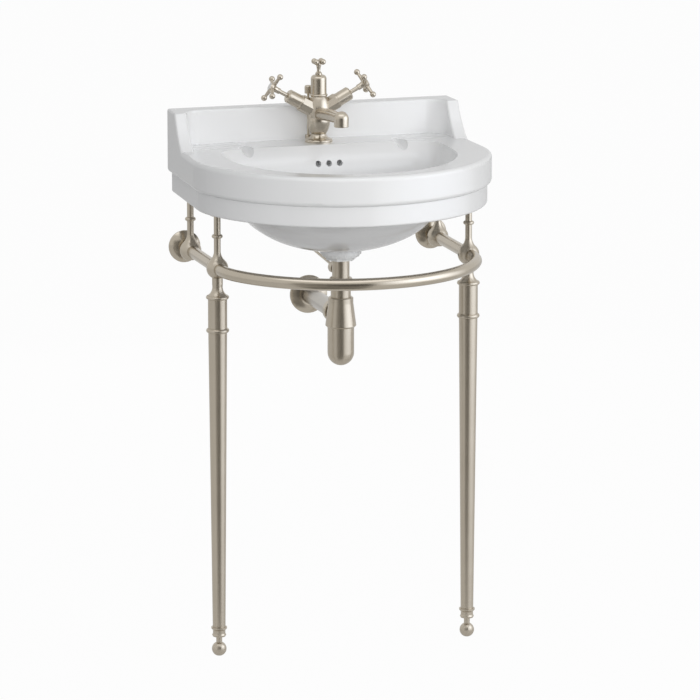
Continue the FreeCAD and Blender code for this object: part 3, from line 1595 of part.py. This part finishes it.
def make_legs():
    """Sleeve, tapered leg, foot collar and screw-in ball foot under each front head."""
    sleeve_top = RAIL_HEIGHT - S.head_cap_drop
    sleeve_low = sleeve_top - S.sleeve_length
    bead = S.sleeve_ring_thickness / 2
    collar_top = S.collar_bottom + S.collar_height
    bore = S.sleeve_radius - S.sleeve_wall
    stud_bore = S.foot_stud_radius + S.fit
    for side, sign in SIDES.items():
        sleeve = turned(f"sleeve_turning_{side}", [
            (bore, sleeve_top),
            (bore, sleeve_low),
            (S.head_cap_radius - bead, sleeve_low),
            (S.head_cap_radius, sleeve_low + bead, bead, 1),
            (S.head_cap_radius - bead, sleeve_low + 2 * bead, bead, 1),
            (S.sleeve_radius, sleeve_low + 2 * bead),
            (S.sleeve_radius, sleeve_top),
        ])
        piece(f"leg_sleeve_{side}", place(sleeve, sign * LEG_X, LEG_Y, 0))
        leg = turned(f"leg_turning_{side}", [
            (S.leg_bore_radius, collar_top),
            (S.leg_foot_radius, collar_top),
            (S.leg_top_radius, sleeve_low),
            (bore - S.fit, sleeve_low),
            (bore - S.fit, sleeve_low + S.leg_spigot_length),
            (S.leg_bore_radius, sleeve_low + S.leg_spigot_length),
        ])
        piece(f"leg_{side}", place(leg, sign * LEG_X, LEG_Y, 0))
        rim = S.collar_height / 6
        waist = S.collar_radius - rim
        collar = turned(f"collar_turning_{side}", [
            (stud_bore, S.collar_bottom),
            (S.collar_radius - rim, S.collar_bottom),
            (S.collar_radius - rim / 2, S.collar_bottom + rim),
            (waist, S.collar_bottom + 2 * rim),
            (waist, collar_top - 2 * rim),
            (S.collar_radius, collar_top - rim),
            (S.collar_radius, collar_top),
            (S.leg_bore_radius - S.fit, collar_top),
            (S.leg_bore_radius - S.fit, collar_top + S.collar_spigot_length),
            (stud_bore, collar_top + S.collar_spigot_length),
        ])
        piece(f"foot_collar_{side}", place(collar, sign * LEG_X, LEG_Y, 0))
        middle = S.foot_ball_height - S.foot_ball_radius
        flat = root(S.foot_ball_radius * S.foot_ball_radius - middle * middle)
        ball_join = root(
            S.foot_ball_radius * S.foot_ball_radius - S.foot_stud_radius * S.foot_stud_radius
        )
        foot = turned(f"foot_turning_{side}", [
            (0, 0),
            (flat, 0),
            (S.foot_ball_radius, middle, S.foot_ball_radius, 1),
            (S.foot_stud_radius, middle + ball_join, S.foot_ball_radius, 1),
            (S.foot_stud_radius, middle + ball_join + S.foot_stud_length),
            (0, middle + ball_join + S.foot_stud_length),
        ])
        piece(f"foot_{side}", place(foot, sign * LEG_X, LEG_Y, 0))


def make_wall_fixings():
    """Roses, the plates behind them with their spigots, the plate screws and the rail's grub screws."""
    bore = S.rail_radius + S.fit
    spigot = S.rail_radius - S.rail_wall - S.fit
    plate_face = WALL - S.wall_plate_thickness
    plates = []
    screws = []
    grubs = []
    head_radius = 1.7 * S.plate_screw_radius
    head_depth = 1.5
    for side, sign in SIDES.items():
        x = sign * LEG_X
        depth = S.wall_flange_depth
        rose = wall_rose(f"rail_rose_{side}", S.wall_flange_radius, depth, bore, x, RAIL_HEIGHT)
        piece(f"wall_flange_{side}", rose)
        plate = turned(f"plate_turning_{side}", [
            (0, 0),
            (S.wall_plate_radius, 0),
            (S.wall_plate_radius, -S.wall_plate_thickness),
            (spigot, -S.wall_plate_thickness),
            (spigot, -4 * S.wall_plate_thickness),
            (0, -4 * S.wall_plate_thickness),
        ])
        place(plate, x, WALL, RAIL_HEIGHT, ALONG_Y)
        holes = []
        for index in range(3):
            angle = math.radians(90 + 120 * index)
            hole_x = x + S.plate_screw_circle * math.cos(angle)
            hole_z = RAIL_HEIGHT + S.plate_screw_circle * math.sin(angle)
            way = S.plate_screw_radius + S.fit
            hole = cylinder(f"plate_hole_{side}_{index}", way, 3 * S.wall_plate_thickness)
            holes.append(place(hole, hole_x, WALL - 2 * S.wall_plate_thickness, hole_z, ALONG_Y))
            shank = cylinder(f"plate_screw_{side}_{index}", S.plate_screw_radius, S.wall_plate_thickness)
            place(shank, hole_x, plate_face, hole_z, ALONG_Y)
            head = cylinder(f"plate_screw_head_{side}_{index}", head_radius, head_depth)
            place(head, hole_x, plate_face - head_depth, hole_z, ALONG_Y)
            screws.append(fuse(f"plate_screw_whole_{side}_{index}", [shank, head]))
        plates.append(cut(f"wall_plate_{side}", plate, holes))
        inward = ALONG_X if sign < 0 else ALONG_X.inverted()
        for y in (LEG_Y, BACK_POST_Y):
            grub = cylinder(f"grub_{side}_{len(grubs)}", S.grub_radius, S.grub_length)
            grubs.append(place(grub, x - sign * (S.rail_radius + 2 * S.fit), y, RAIL_HEIGHT, inward))
    piece("wall_plates", group("wall_plate_set", plates))
    piece("plate_screws", group("plate_screw_set", screws))
    piece("rail_grub_screws", group("grub_screw_set", grubs))


make_rail()
make_heads()
make_posts()
make_legs()
make_wall_fixings()


# Check every object and write one file for each sub-part

document.recompute()
faults = [item.Name for item in document.Objects if {"Invalid", "Error"} & set(item.State)]
for item in pieces:
    if item.Shape.isNull() or not item.Shape.isValid():
        faults.append(item.Label)
if faults:
    raise RuntimeError("failed objects: " + ", ".join(faults))
os.makedirs("parts", exist_ok=True)
for item in pieces:
    item.Shape.exportStep(f"parts/{item.Label}.step")
print(len(pieces), "sub-parts written")
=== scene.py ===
import math

import bpy
import numpy as np
from mathutils import Matrix, Vector

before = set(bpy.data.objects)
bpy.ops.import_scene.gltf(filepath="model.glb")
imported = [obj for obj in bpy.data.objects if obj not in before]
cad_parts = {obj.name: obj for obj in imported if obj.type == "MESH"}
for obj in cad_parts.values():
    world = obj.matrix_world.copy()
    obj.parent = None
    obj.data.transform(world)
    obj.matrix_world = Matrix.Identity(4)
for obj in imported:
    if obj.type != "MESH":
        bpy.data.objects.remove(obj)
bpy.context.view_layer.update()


# Legs: two tapered tubes, each with a sleeve above, a small turned collar below and a ball
# foot on a screwed stud. Brass, plated in nickel and brushed round their axes in the lathe.


class Shade:
    """One value in a material. Sums and products of it become Math nodes in the same material."""

    def __init__(self, socket):
        self.socket = socket

    def node(self, kind, inputs, output=0, **settings):
        """Any other node: its type, its settings, and the values or links of its sockets."""
        made = self.socket.id_data.nodes.new("ShaderNode" + kind)
        for name, setting in settings.items():
            setattr(made, name, setting)
        connect(made, inputs)
        return Shade(made.outputs[output])

    def math(self, operation, first, second):
        """A Math node of two values."""
        return self.node("Math", {0: first, 1: second}, operation=operation)

    def clamped(self):
        """The value, held between 0 and 1."""
        return self.node("Clamp", {"Value": self})

    def between(self, low, high):
        """The colour that goes from low, where the value is 0, to high, where it is 1."""
        return self.node(
            "Mix",
            {"Factor": self, "A": (*low, 1.0), "B": (*high, 1.0)},
            output="Result",
            data_type="RGBA",
        )

    def __add__(self, other):
        return self.math("ADD", self, other)

    def __radd__(self, other):
        return self.math("ADD", other, self)

    def __sub__(self, other):
        return self.math("SUBTRACT", self, other)

    def __rsub__(self, other):
        return self.math("SUBTRACT", other, self)

    def __mul__(self, other):
        return self.math("MULTIPLY", self, other)

    def __rmul__(self, other):
        return self.math("MULTIPLY", other, self)

    def __truediv__(self, other):
        return self.math("DIVIDE", self, other)

    def __rtruediv__(self, other):
        return self.math("DIVIDE", other, self)


def connect(node, inputs):
    """Set or link the named sockets of a node."""
    for name, value in inputs.items():
        if isinstance(value, Shade):
            node.id_data.links.new(value.socket, node.inputs[name])
        else:
            node.inputs[name].default_value = value


def new_finish(name):
    """An empty finish: its material, its surface shader and the piece's own coordinates."""
    material = bpy.data.materials.new(name)
    material.use_nodes = True
    nodes = material.node_tree.nodes
    where = Shade(nodes.new("ShaderNodeTexCoord").outputs["Object"])
    return material, nodes["Principled BSDF"], where


def noise(where, stretch, detail=2.0):
    """Smooth noise from 0 to 1, with so many waves to the metre along X, Y and Z."""
    spread = where.node("Mapping", {"Vector": where, "Scale": stretch})
    inputs = {"Vector": spread, "Scale": 1.0, "Detail": detail, "Roughness": 0.6}
    return where.node("TexNoise", inputs)


def even_noise(where, waves, detail=2.0):
    """Smooth noise from 0 to 1, with as many waves to the metre along X as along Y and Z."""
    return noise(where, (waves, waves, waves), detail)


NICKEL_WORN = (0.5, 0.443, 0.357)
NICKEL_CLEAN = (0.62, 0.559, 0.464)
TARNISH_SHARE = 0.7
LINE_DULLING = 0.12
TARNISH_DULLING = 0.06


def plate_tone(plate, warmth):
    """A plate colour whose green and blue fall below its red by warmth times their usual fall."""
    red = plate[0]
    return [red + warmth * (part - red) for part in plate]


def brushed_nickel(name, stretch, spread=0.0, dull=0.24, warmth=1.0):
    """Nickel plate over brass: fine brush lines in the roughness and relief, and a faint tarnish.

    Lines round an upright axis spread its reflections up and down, which makes bands along it.
    A warmth of 0 takes the yellow out of the plate.
    """
    material, shader, where = new_finish(name)
    lines = noise(where, stretch)
    cloud = even_noise(where, waves=14.0, detail=4.0)
    wear = TARNISH_SHARE * cloud + (1.0 - TARNISH_SHARE) * lines
    connect(shader, {
        "Metallic": 1.0,
        "Base Color": wear.between(plate_tone(NICKEL_WORN, warmth), plate_tone(NICKEL_CLEAN, warmth)),
        "Roughness": dull + LINE_DULLING * lines + TARNISH_DULLING * cloud,
        "Normal": lines.node("Bump", {"Height": lines, "Strength": 0.12, "Distance": 0.0001}),
        "Anisotropic": spread,
        "Anisotropic Rotation": 0.25,
    })
    return material


def finish_nodes(material, *names):
    """Give CAD nodes a finish in every material slot they have."""
    for name in names:
        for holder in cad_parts[name].material_slots:
            holder.material = material


SIDES = ("left", "right")
LEG_LINES = (25.0, 25.0, 1500.0)
LATHE_LINES = (25.0, 25.0, 1800.0)

leg_nickel = brushed_nickel("leg_nickel", LEG_LINES, spread=0.85)
turned_nickel = brushed_nickel("turned_nickel", LATHE_LINES, spread=0.6)
for side in SIDES:
    finish_nodes(leg_nickel, f"leg_{side}", f"leg_sleeve_{side}")
    finish_nodes(turned_nickel, f"foot_{side}", f"foot_collar_{side}")


# Heads and posts: turned brass balls that clamp the rail over each leg and near the wall,
# with a short beaded post screwed into each one. A rubber pad on top of each post keeps
# the metal off the china.

for side in SIDES:
    for place in ("front", "back"):
        finish_nodes(turned_nickel, f"{place}_head_{side}", f"{place}_post_{side}")

RUBBER_BLACK = (0.018, 0.018, 0.019)
RUBBER_GREY = (0.05, 0.049, 0.047)
RUBBER_DULL = 0.62
BLOOM_DULLING = 0.2


def moulded_rubber():
    """Black moulded rubber: a dull skin with a fine grain and a little bloom."""
    material, shader, where = new_finish("moulded_rubber")
    grain = even_noise(where, waves=900.0)
    bloom = even_noise(where, waves=60.0, detail=4.0)
    connect(shader, {
        "Base Color": bloom.between(RUBBER_BLACK, RUBBER_GREY),
        "Roughness": RUBBER_DULL + BLOOM_DULLING * bloom,
        "Normal": grain.node("Bump", {"Height": grain, "Strength": 0.3, "Distance": 0.0002}),
    })
    return material


rubber = moulded_rubber()
finish_nodes(rubber, "post_pads")


# Towel rail: one brass tube bent round from wall to wall, nickel plated and brushed, with a
# domed rose at each end. The zinc-plated wall plates, their screws and the grub screws in
# the heads are hidden behind them.

RAIL_LINES = (260.0, 260.0, 1500.0)

rail_nickel = brushed_nickel("rail_nickel", RAIL_LINES, dull=0.12)
finish_nodes(rail_nickel, "towel_rail", "wall_flange_left", "wall_flange_right")

ZINC_DARK = (0.42, 0.43, 0.44)
ZINC_PALE = (0.6, 0.61, 0.62)
ZINC_DULL = 0.28
SPANGLE_DULLING = 0.16


def zinc_steel():
    """Zinc-plated steel: a cool grey with a cloudy spangle."""
    material, shader, where = new_finish("zinc_steel")
    spangle = even_noise(where, waves=240.0, detail=3.0)
    connect(shader, {
        "Metallic": 1.0,
        "Base Color": spangle.between(ZINC_DARK, ZINC_PALE),
        "Roughness": ZINC_DULL + SPANGLE_DULLING * spangle,
    })
    return material


zinc = zinc_steel()
finish_nodes(zinc, "wall_plates", "plate_screws", "rail_grub_screws")


# Basin: one slip-cast piece of vitreous china under a thick white gloss glaze. It hangs on
# two bolts in the wall and rests on the four posts.

CHINA_WHITE = (0.86, 0.865, 0.87)
THIN_GLAZE = 0.97
GLAZE_DULL = 0.12
POOL_DULLING = 0.05


def white_glaze(name, colour):
    """Gloss glaze on china: almost even white, a slow wave in the glaze and a trace of pooling."""
    material, shader, where = new_finish(name)
    wave = even_noise(where, waves=22.0)
    pool = even_noise(where, waves=7.0, detail=3.0)
    connect(shader, {
        "Base Color": pool.between([THIN_GLAZE * part for part in colour], colour),
        "Roughness": GLAZE_DULL + POOL_DULLING * pool,
        "Normal": wave.node("Bump", {"Height": wave, "Strength": 0.06, "Distance": 0.002}),
        "Coat Weight": 0.3,
        "Coat Roughness": 0.1,
    })
    return material


china = white_glaze("china_glaze", CHINA_WHITE)
finish_nodes(china, "basin")


# Waste: a nickel-plated brass flange and tail through the floor of the bowl, clamped from
# below by a white plastic back nut. A knob behind the tap moves its pop-up plug by a rod, a
# clevis and a pivoting rod.

finish_nodes(
    turned_nickel,
    "waste_flange",
    "waste_tail",
    "pivot_port_nut",
    "pop_up_plug",
    "pivot_rod",
    "lift_clevis",
    "lift_rod",
    "lift_knob",
)
finish_nodes(rubber, "waste_seal")

PLASTIC_DARK = (0.74, 0.745, 0.74)
PLASTIC_PALE = (0.83, 0.835, 0.83)
PLASTIC_DULL = 0.36
MOTTLE_DULLING = 0.1


def white_plastic():
    """Satin white moulded plastic, faintly mottled."""
    material, shader, where = new_finish("white_plastic")
    mottle = even_noise(where, waves=120.0, detail=3.0)
    connect(shader, {
        "Base Color": mottle.between(PLASTIC_DARK, PLASTIC_PALE),
        "Roughness": PLASTIC_DULL + MOTTLE_DULLING * mottle,
        "Normal": mottle.node("Bump", {"Height": mottle, "Strength": 0.1, "Distance": 0.0002}),
    })
    return material


plastic = white_plastic()
finish_nodes(plastic, "waste_back_nut")


# Bottle trap: a turned cone and cup on the waste tail, with a tube back to a rose on the
# wall. Brass, plated and brushed as the stand is, with a brighter, paler tube. The dip tube
# inside is plastic.

PIPE_LINES = (900.0, 40.0, 900.0)

finish_nodes(turned_nickel, "trap_inlet_nut", "trap_body", "trap_cup")
pipe_nickel = brushed_nickel("pipe_nickel", PIPE_LINES, dull=0.14, warmth=0.5)
finish_nodes(pipe_nickel, "outlet_pipe")
finish_nodes(rail_nickel, "trap_outlet_nut", "outlet_wall_flange")
finish_nodes(plastic, "trap_dip_tube")
finish_nodes(rubber, "trap_seal")


# Tap: a cast body with octagonal arms and a short spout, a turned tower and a cross finial,
# all in brushed nickel, clamped to the deck by a stud and a horseshoe plate.

CAST_LINES = (420.0, 420.0, 420.0)

cast_nickel = brushed_nickel("cast_nickel", CAST_LINES, dull=0.12)
tower_nickel = brushed_nickel("tower_nickel", LATHE_LINES, spread=0.5, dull=0.12)
finish_nodes(cast_nickel, "tap_body", "tap_finial")
finish_nodes(tower_nickel, "tap_tower")
finish_nodes(rubber, "tap_base_seal")
finish_nodes(zinc, "spout_aerator", "tap_fixing_stud", "tap_fixing_plate", "tap_fixing_nut")


# Valves: a nickel-plated bonnet and spindle on each arm with a cartridge inside. Each spindle
# carries a cross handle with a small domed porcelain disc let into its end.

PORCELAIN_WHITE = (0.87, 0.86, 0.83)

porcelain = white_glaze("porcelain_glaze", PORCELAIN_WHITE)
for water in ("hot", "cold"):
    finish_nodes(cast_nickel, f"{water}_bonnet", f"{water}_handle", f"{water}_spindle")
    finish_nodes(plastic, f"{water}_cartridge")
    finish_nodes(porcelain, f"{water}_disc")


# Studio: a pale floor and a white surround. Two soft lamps stand in front, a little above the
# rim, one to the right and a broader one near the middle, and a weak one lights the back.

WHITE = (1.0, 1.0, 1.0, 1.0)
FLOOR_HALF = 16.0
FLOOR_GREY = (0.44, 0.44, 0.44, 1.0)
FLOOR_DULL = 0.85
SPECK_DULLING = 0.1
FLOOR_SEEN_WHITE = 0.97
FLOOR_MIRRORED_WHITE = 0.5


def pale_floor():
    """Matt floor that bounces little light, and that a camera sees as almost white."""
    material, shader, where = new_finish("pale_floor")
    speck = even_noise(where, waves=30.0, detail=4.0)
    connect(shader, {"Base Color": FLOOR_GREY, "Roughness": FLOOR_DULL + SPECK_DULLING * speck})
    tree = material.node_tree
    path = tree.nodes.new("ShaderNodeLightPath")
    seen = Shade(path.outputs["Is Camera Ray"]) + Shade(path.outputs["Is Transmission Ray"])
    lit = FLOOR_SEEN_WHITE * seen + FLOOR_MIRRORED_WHITE * Shade(path.outputs["Is Glossy Ray"])
    glow = where.node("Emission", {"Color": WHITE, "Strength": 1.0})
    surface = where.node("MixShader", {0: lit.clamped(), 1: Shade(shader.outputs[0]), 2: glow})
    connect(tree.nodes["Material Output"], {"Surface": surface})
    return material


corners = np.array([(-1, -1, 0), (1, -1, 0), (1, 1, 0), (-1, 1, 0)], dtype=float) * FLOOR_HALF
floor_mesh = bpy.data.meshes.new("studio_floor")
floor_mesh.from_pydata(corners.tolist(), [], [(0, 1, 2, 3)])
floor_mesh.materials.append(pale_floor())
studio_floor = bpy.data.objects.new("studio_floor", floor_mesh)
bpy.context.scene.collection.objects.link(studio_floor)

SURROUND_LIGHT = 0.46
SURROUND_GLOSS = 0.78

surround = bpy.data.worlds.new("studio_surround")
surround.use_nodes = True
rays = surround.node_tree.nodes.new("ShaderNodeLightPath")
shown = Shade(rays.outputs["Is Camera Ray"]) + Shade(rays.outputs["Is Transmission Ray"])
mirrored = Shade(rays.outputs["Is Glossy Ray"])
connect(surround.node_tree.nodes["Background"], {
    "Color": WHITE,
    "Strength": SURROUND_LIGHT
    + (1.0 - SURROUND_LIGHT) * shown.clamped()
    + (SURROUND_GLOSS - SURROUND_LIGHT) * mirrored,
})
bpy.context.scene.world = surround


def aim(item, eye, target):
    """Stand a lamp or camera at a place and turn it to face another."""
    back = (Vector(eye) - Vector(target)).normalized()
    right = Vector((0.0, 0.0, 1.0)).cross(back).normalized()
    turn = Matrix((right, back.cross(right), back)).transposed()
    item.matrix_world = Matrix.Translation(Vector(eye)) @ turn.to_4x4()


def soft_lamp(name, eye, height_aimed, width, height, watts):
    """A rectangular soft box, aimed at a height on the upright axis, that nothing mirrors."""
    lamp = bpy.data.lights.new(name, "AREA")
    lamp.shape = "RECTANGLE"
    lamp.size = width
    lamp.size_y = height
    lamp.energy = watts
    holder = bpy.data.objects.new(name, lamp)
    holder.visible_glossy = False
    bpy.context.scene.collection.objects.link(holder)
    aim(holder, eye, (0.0, 0.0, height_aimed))


soft_lamp("key_lamp", (2.12, -1.78, 1.8), height_aimed=0.9, width=1.6, height=1.4, watts=25.0)
soft_lamp("front_lamp", (-0.45, -2.56, 1.5), height_aimed=0.9, width=2.4, height=1.6, watts=30.0)
soft_lamp("back_lamp", (0.5, 2.8, 0.95), height_aimed=0.8, width=1.6, height=1.2, watts=14.0)


# Camera: it stands where the photograph was taken from, a little to the left and above, and
# far enough away that the legs stay almost parallel.

AZIMUTH = math.radians(-16.89)
ELEVATION = math.radians(11.684)
DISTANCE = 10.03
FOCUS_PIXELS = 5465.7
IMAGE_PIXELS = 700.0
SENSOR_WIDTH = 36.0

aim_point = Vector((0.0095, -0.0029, 0.5608))
towards_eye = Vector((
    math.sin(AZIMUTH) * math.cos(ELEVATION),
    -math.cos(AZIMUTH) * math.cos(ELEVATION),
    math.sin(ELEVATION),
))
camera = bpy.data.cameras.new("photo_camera")
camera.sensor_width = SENSOR_WIDTH
camera.lens = FOCUS_PIXELS / IMAGE_PIXELS * SENSOR_WIDTH
camera_holder = bpy.data.objects.new("photo_camera", camera)
bpy.context.scene.collection.objects.link(camera_holder)
aim(camera_holder, aim_point + towards_eye * DISTANCE, aim_point)
bpy.context.scene.camera = camera_holder
bpy.context.scene.view_settings.view_transform = "Standard"


# Flag and cards: a grey cloth round the camera and two glowing cards, one upright at the right
# and one overhead. Nothing but the metal and the glaze sees them; they cast no shadow and light
# nothing. The cloth is a painted dark reflection, which gives the tubes their dark middles, and
# the cards, which are no lamps, are painted highlights, which give the tubes their bright sides.

CLOTH_STEPS = 25


def curved_cloth(name, bearings, profile):
    """Profile of radius and height, turned about the upright axis through the given bearings."""
    radius, height = np.array(profile).T[:, None, :]
    bearings = bearings[:, None]
    across, ahead = radius * np.sin(bearings), -radius * np.cos(bearings)
    points = np.stack(np.broadcast_arrays(across, ahead, height), axis=-1)
    rows, columns = points.shape[:2]
    corner = (np.arange(rows - 1)[:, None] * columns + np.arange(columns - 1)[None, :]).ravel()
    faces = np.stack([corner, corner + columns, corner + columns + 1, corner + 1], axis=1)
    mesh = bpy.data.meshes.new(name)
    mesh.from_pydata(points.reshape(-1, 3).tolist(), [], faces.tolist())
    return mesh


def hang(mesh, material):
    """Hang a cloth in the studio so that only the metal and the glaze mirror it."""
    mesh.materials.append(material)
    holder = bpy.data.objects.new(mesh.name, mesh)
    holder.visible_camera = False
    holder.visible_diffuse = False
    holder.visible_shadow = False
    holder.visible_transmission = False
    bpy.context.scene.collection.objects.link(holder)


FLAG_NEAR = 0.34
FLAG_RADIUS = 1.7
FLAG_FOOT = 0.004
FLAG_HEIGHT = 1.3
FLAG_FROM = math.radians(-36.0)
FLAG_TO = math.radians(25.0)
FLAG_PALE = (0.6, 0.58, 0.55)
FLAG_DARK = (0.27, 0.26, 0.242)
FLAG_DULL = 0.85
WEAVE_DULLING = 0.1
FADE_START = -1.2
FADE_RUN = 0.7


def grey_flag():
    """A dull grey cloth for painted dark reflections, paler at its left end and darkening over a run
    along X.
    """
    material, shader, where = new_finish("dark_flag")
    weave = even_noise(where, waves=200.0)
    along = where.node("SeparateXYZ", {"Vector": where})
    fade = (along - FADE_START) / FADE_RUN
    connect(shader, {
        "Base Color": fade.clamped().between(FLAG_PALE, FLAG_DARK),
        "Roughness": FLAG_DULL + WEAVE_DULLING * weave,
    })
    return material


flag_bearings = AZIMUTH + np.linspace(FLAG_FROM, FLAG_TO, CLOTH_STEPS)
flag_profile = [(FLAG_NEAR, FLAG_FOOT), (FLAG_RADIUS, FLAG_FOOT), (FLAG_RADIUS, FLAG_HEIGHT)]
hang(curved_cloth("camera_flag", flag_bearings, flag_profile), grey_flag())


def glowing_card(name, fade, peak):
    """A glowing card, no lamp, that makes painted highlights in the metal and the glaze: it is as pale
    as the surround where its fade is 0, and at its peak where it is 1.
    """
    material, shader, where = new_finish(name)
    edge = (SURROUND_GLOSS, SURROUND_GLOSS, SURROUND_GLOSS)
    connect(shader, {
        "Base Color": (0.0, 0.0, 0.0, 1.0),
        "Specular IOR Level": 0.0,
        "Emission Color": fade(where).clamped().between(edge, peak),
        "Emission Strength": 1.0,
    })
    return material


def along_way(where, way):
    """The coordinates' dot product with a vector."""
    inputs = {0: where, 1: way}
    return where.node("VectorMath", inputs, output="Value", operation="DOT_PRODUCT")


SIDE_RADIUS = 1.9
SIDE_HEIGHT = 2.4
SIDE_FROM = AZIMUTH + math.radians(28.0)
SIDE_TO = AZIMUTH + math.radians(116.0)
SIDE_PEAK = (2.28, 2.42, 2.7)


def side_fade(where):
    """1 in the middle of the card at the right, falling to 0 at its ends, foot and top.

    It is the product of 1 less the square of the place across, and 1 less the square of the
    place up, each measured from -1 to 1.
    """
    middle = (SIDE_FROM + SIDE_TO) / 2
    half_width = SIDE_RADIUS * math.sin((SIDE_TO - SIDE_FROM) / 2)
    chord = (math.cos(middle) / half_width, math.sin(middle) / half_width, 0.0)
    sideways = along_way(where, chord)
    upward = along_way(where, (0.0, 0.0, 2.0 / SIDE_HEIGHT)) - 1.0
    return (1.0 - sideways * sideways) * (1.0 - upward * upward)


side_bearings = np.linspace(SIDE_FROM, SIDE_TO, CLOTH_STEPS)
side_profile = [(SIDE_RADIUS, 0.0), (SIDE_RADIUS, SIDE_HEIGHT)]
hang(
    curved_cloth("side_card", side_bearings, side_profile),
    glowing_card("side_card", side_fade, SIDE_PEAK),
)

TOP_HEIGHT = 2.6
TOP_MIDDLE = 1.1
TOP_HALF = 0.85
TOP_SPREAD = math.radians(75.0)
TOP_PEAK = (1.6, 1.63, 1.7)


def top_fade(where):
    """1 along the middle of the card overhead, falling to 0 at its inner and outer edges.

    It is 1 less the square of the distance from the middle, measured from -1 to 1.
    """
    level = where.node("VectorMath", {0: where, 1: (1.0, 1.0, 0.0)}, operation="MULTIPLY")
    radius = level.node("VectorMath", {0: level}, output="Value", operation="LENGTH")
    outward = (radius - TOP_MIDDLE) / TOP_HALF
    return 1.0 - outward * outward


top_bearings = AZIMUTH + np.linspace(-TOP_SPREAD, TOP_SPREAD, CLOTH_STEPS)
top_profile = [(TOP_MIDDLE - TOP_HALF, TOP_HEIGHT), (TOP_MIDDLE + TOP_HALF, TOP_HEIGHT)]
hang(
    curved_cloth("top_card", top_bearings, top_profile),
    glowing_card("top_card", top_fade, TOP_PEAK),
)
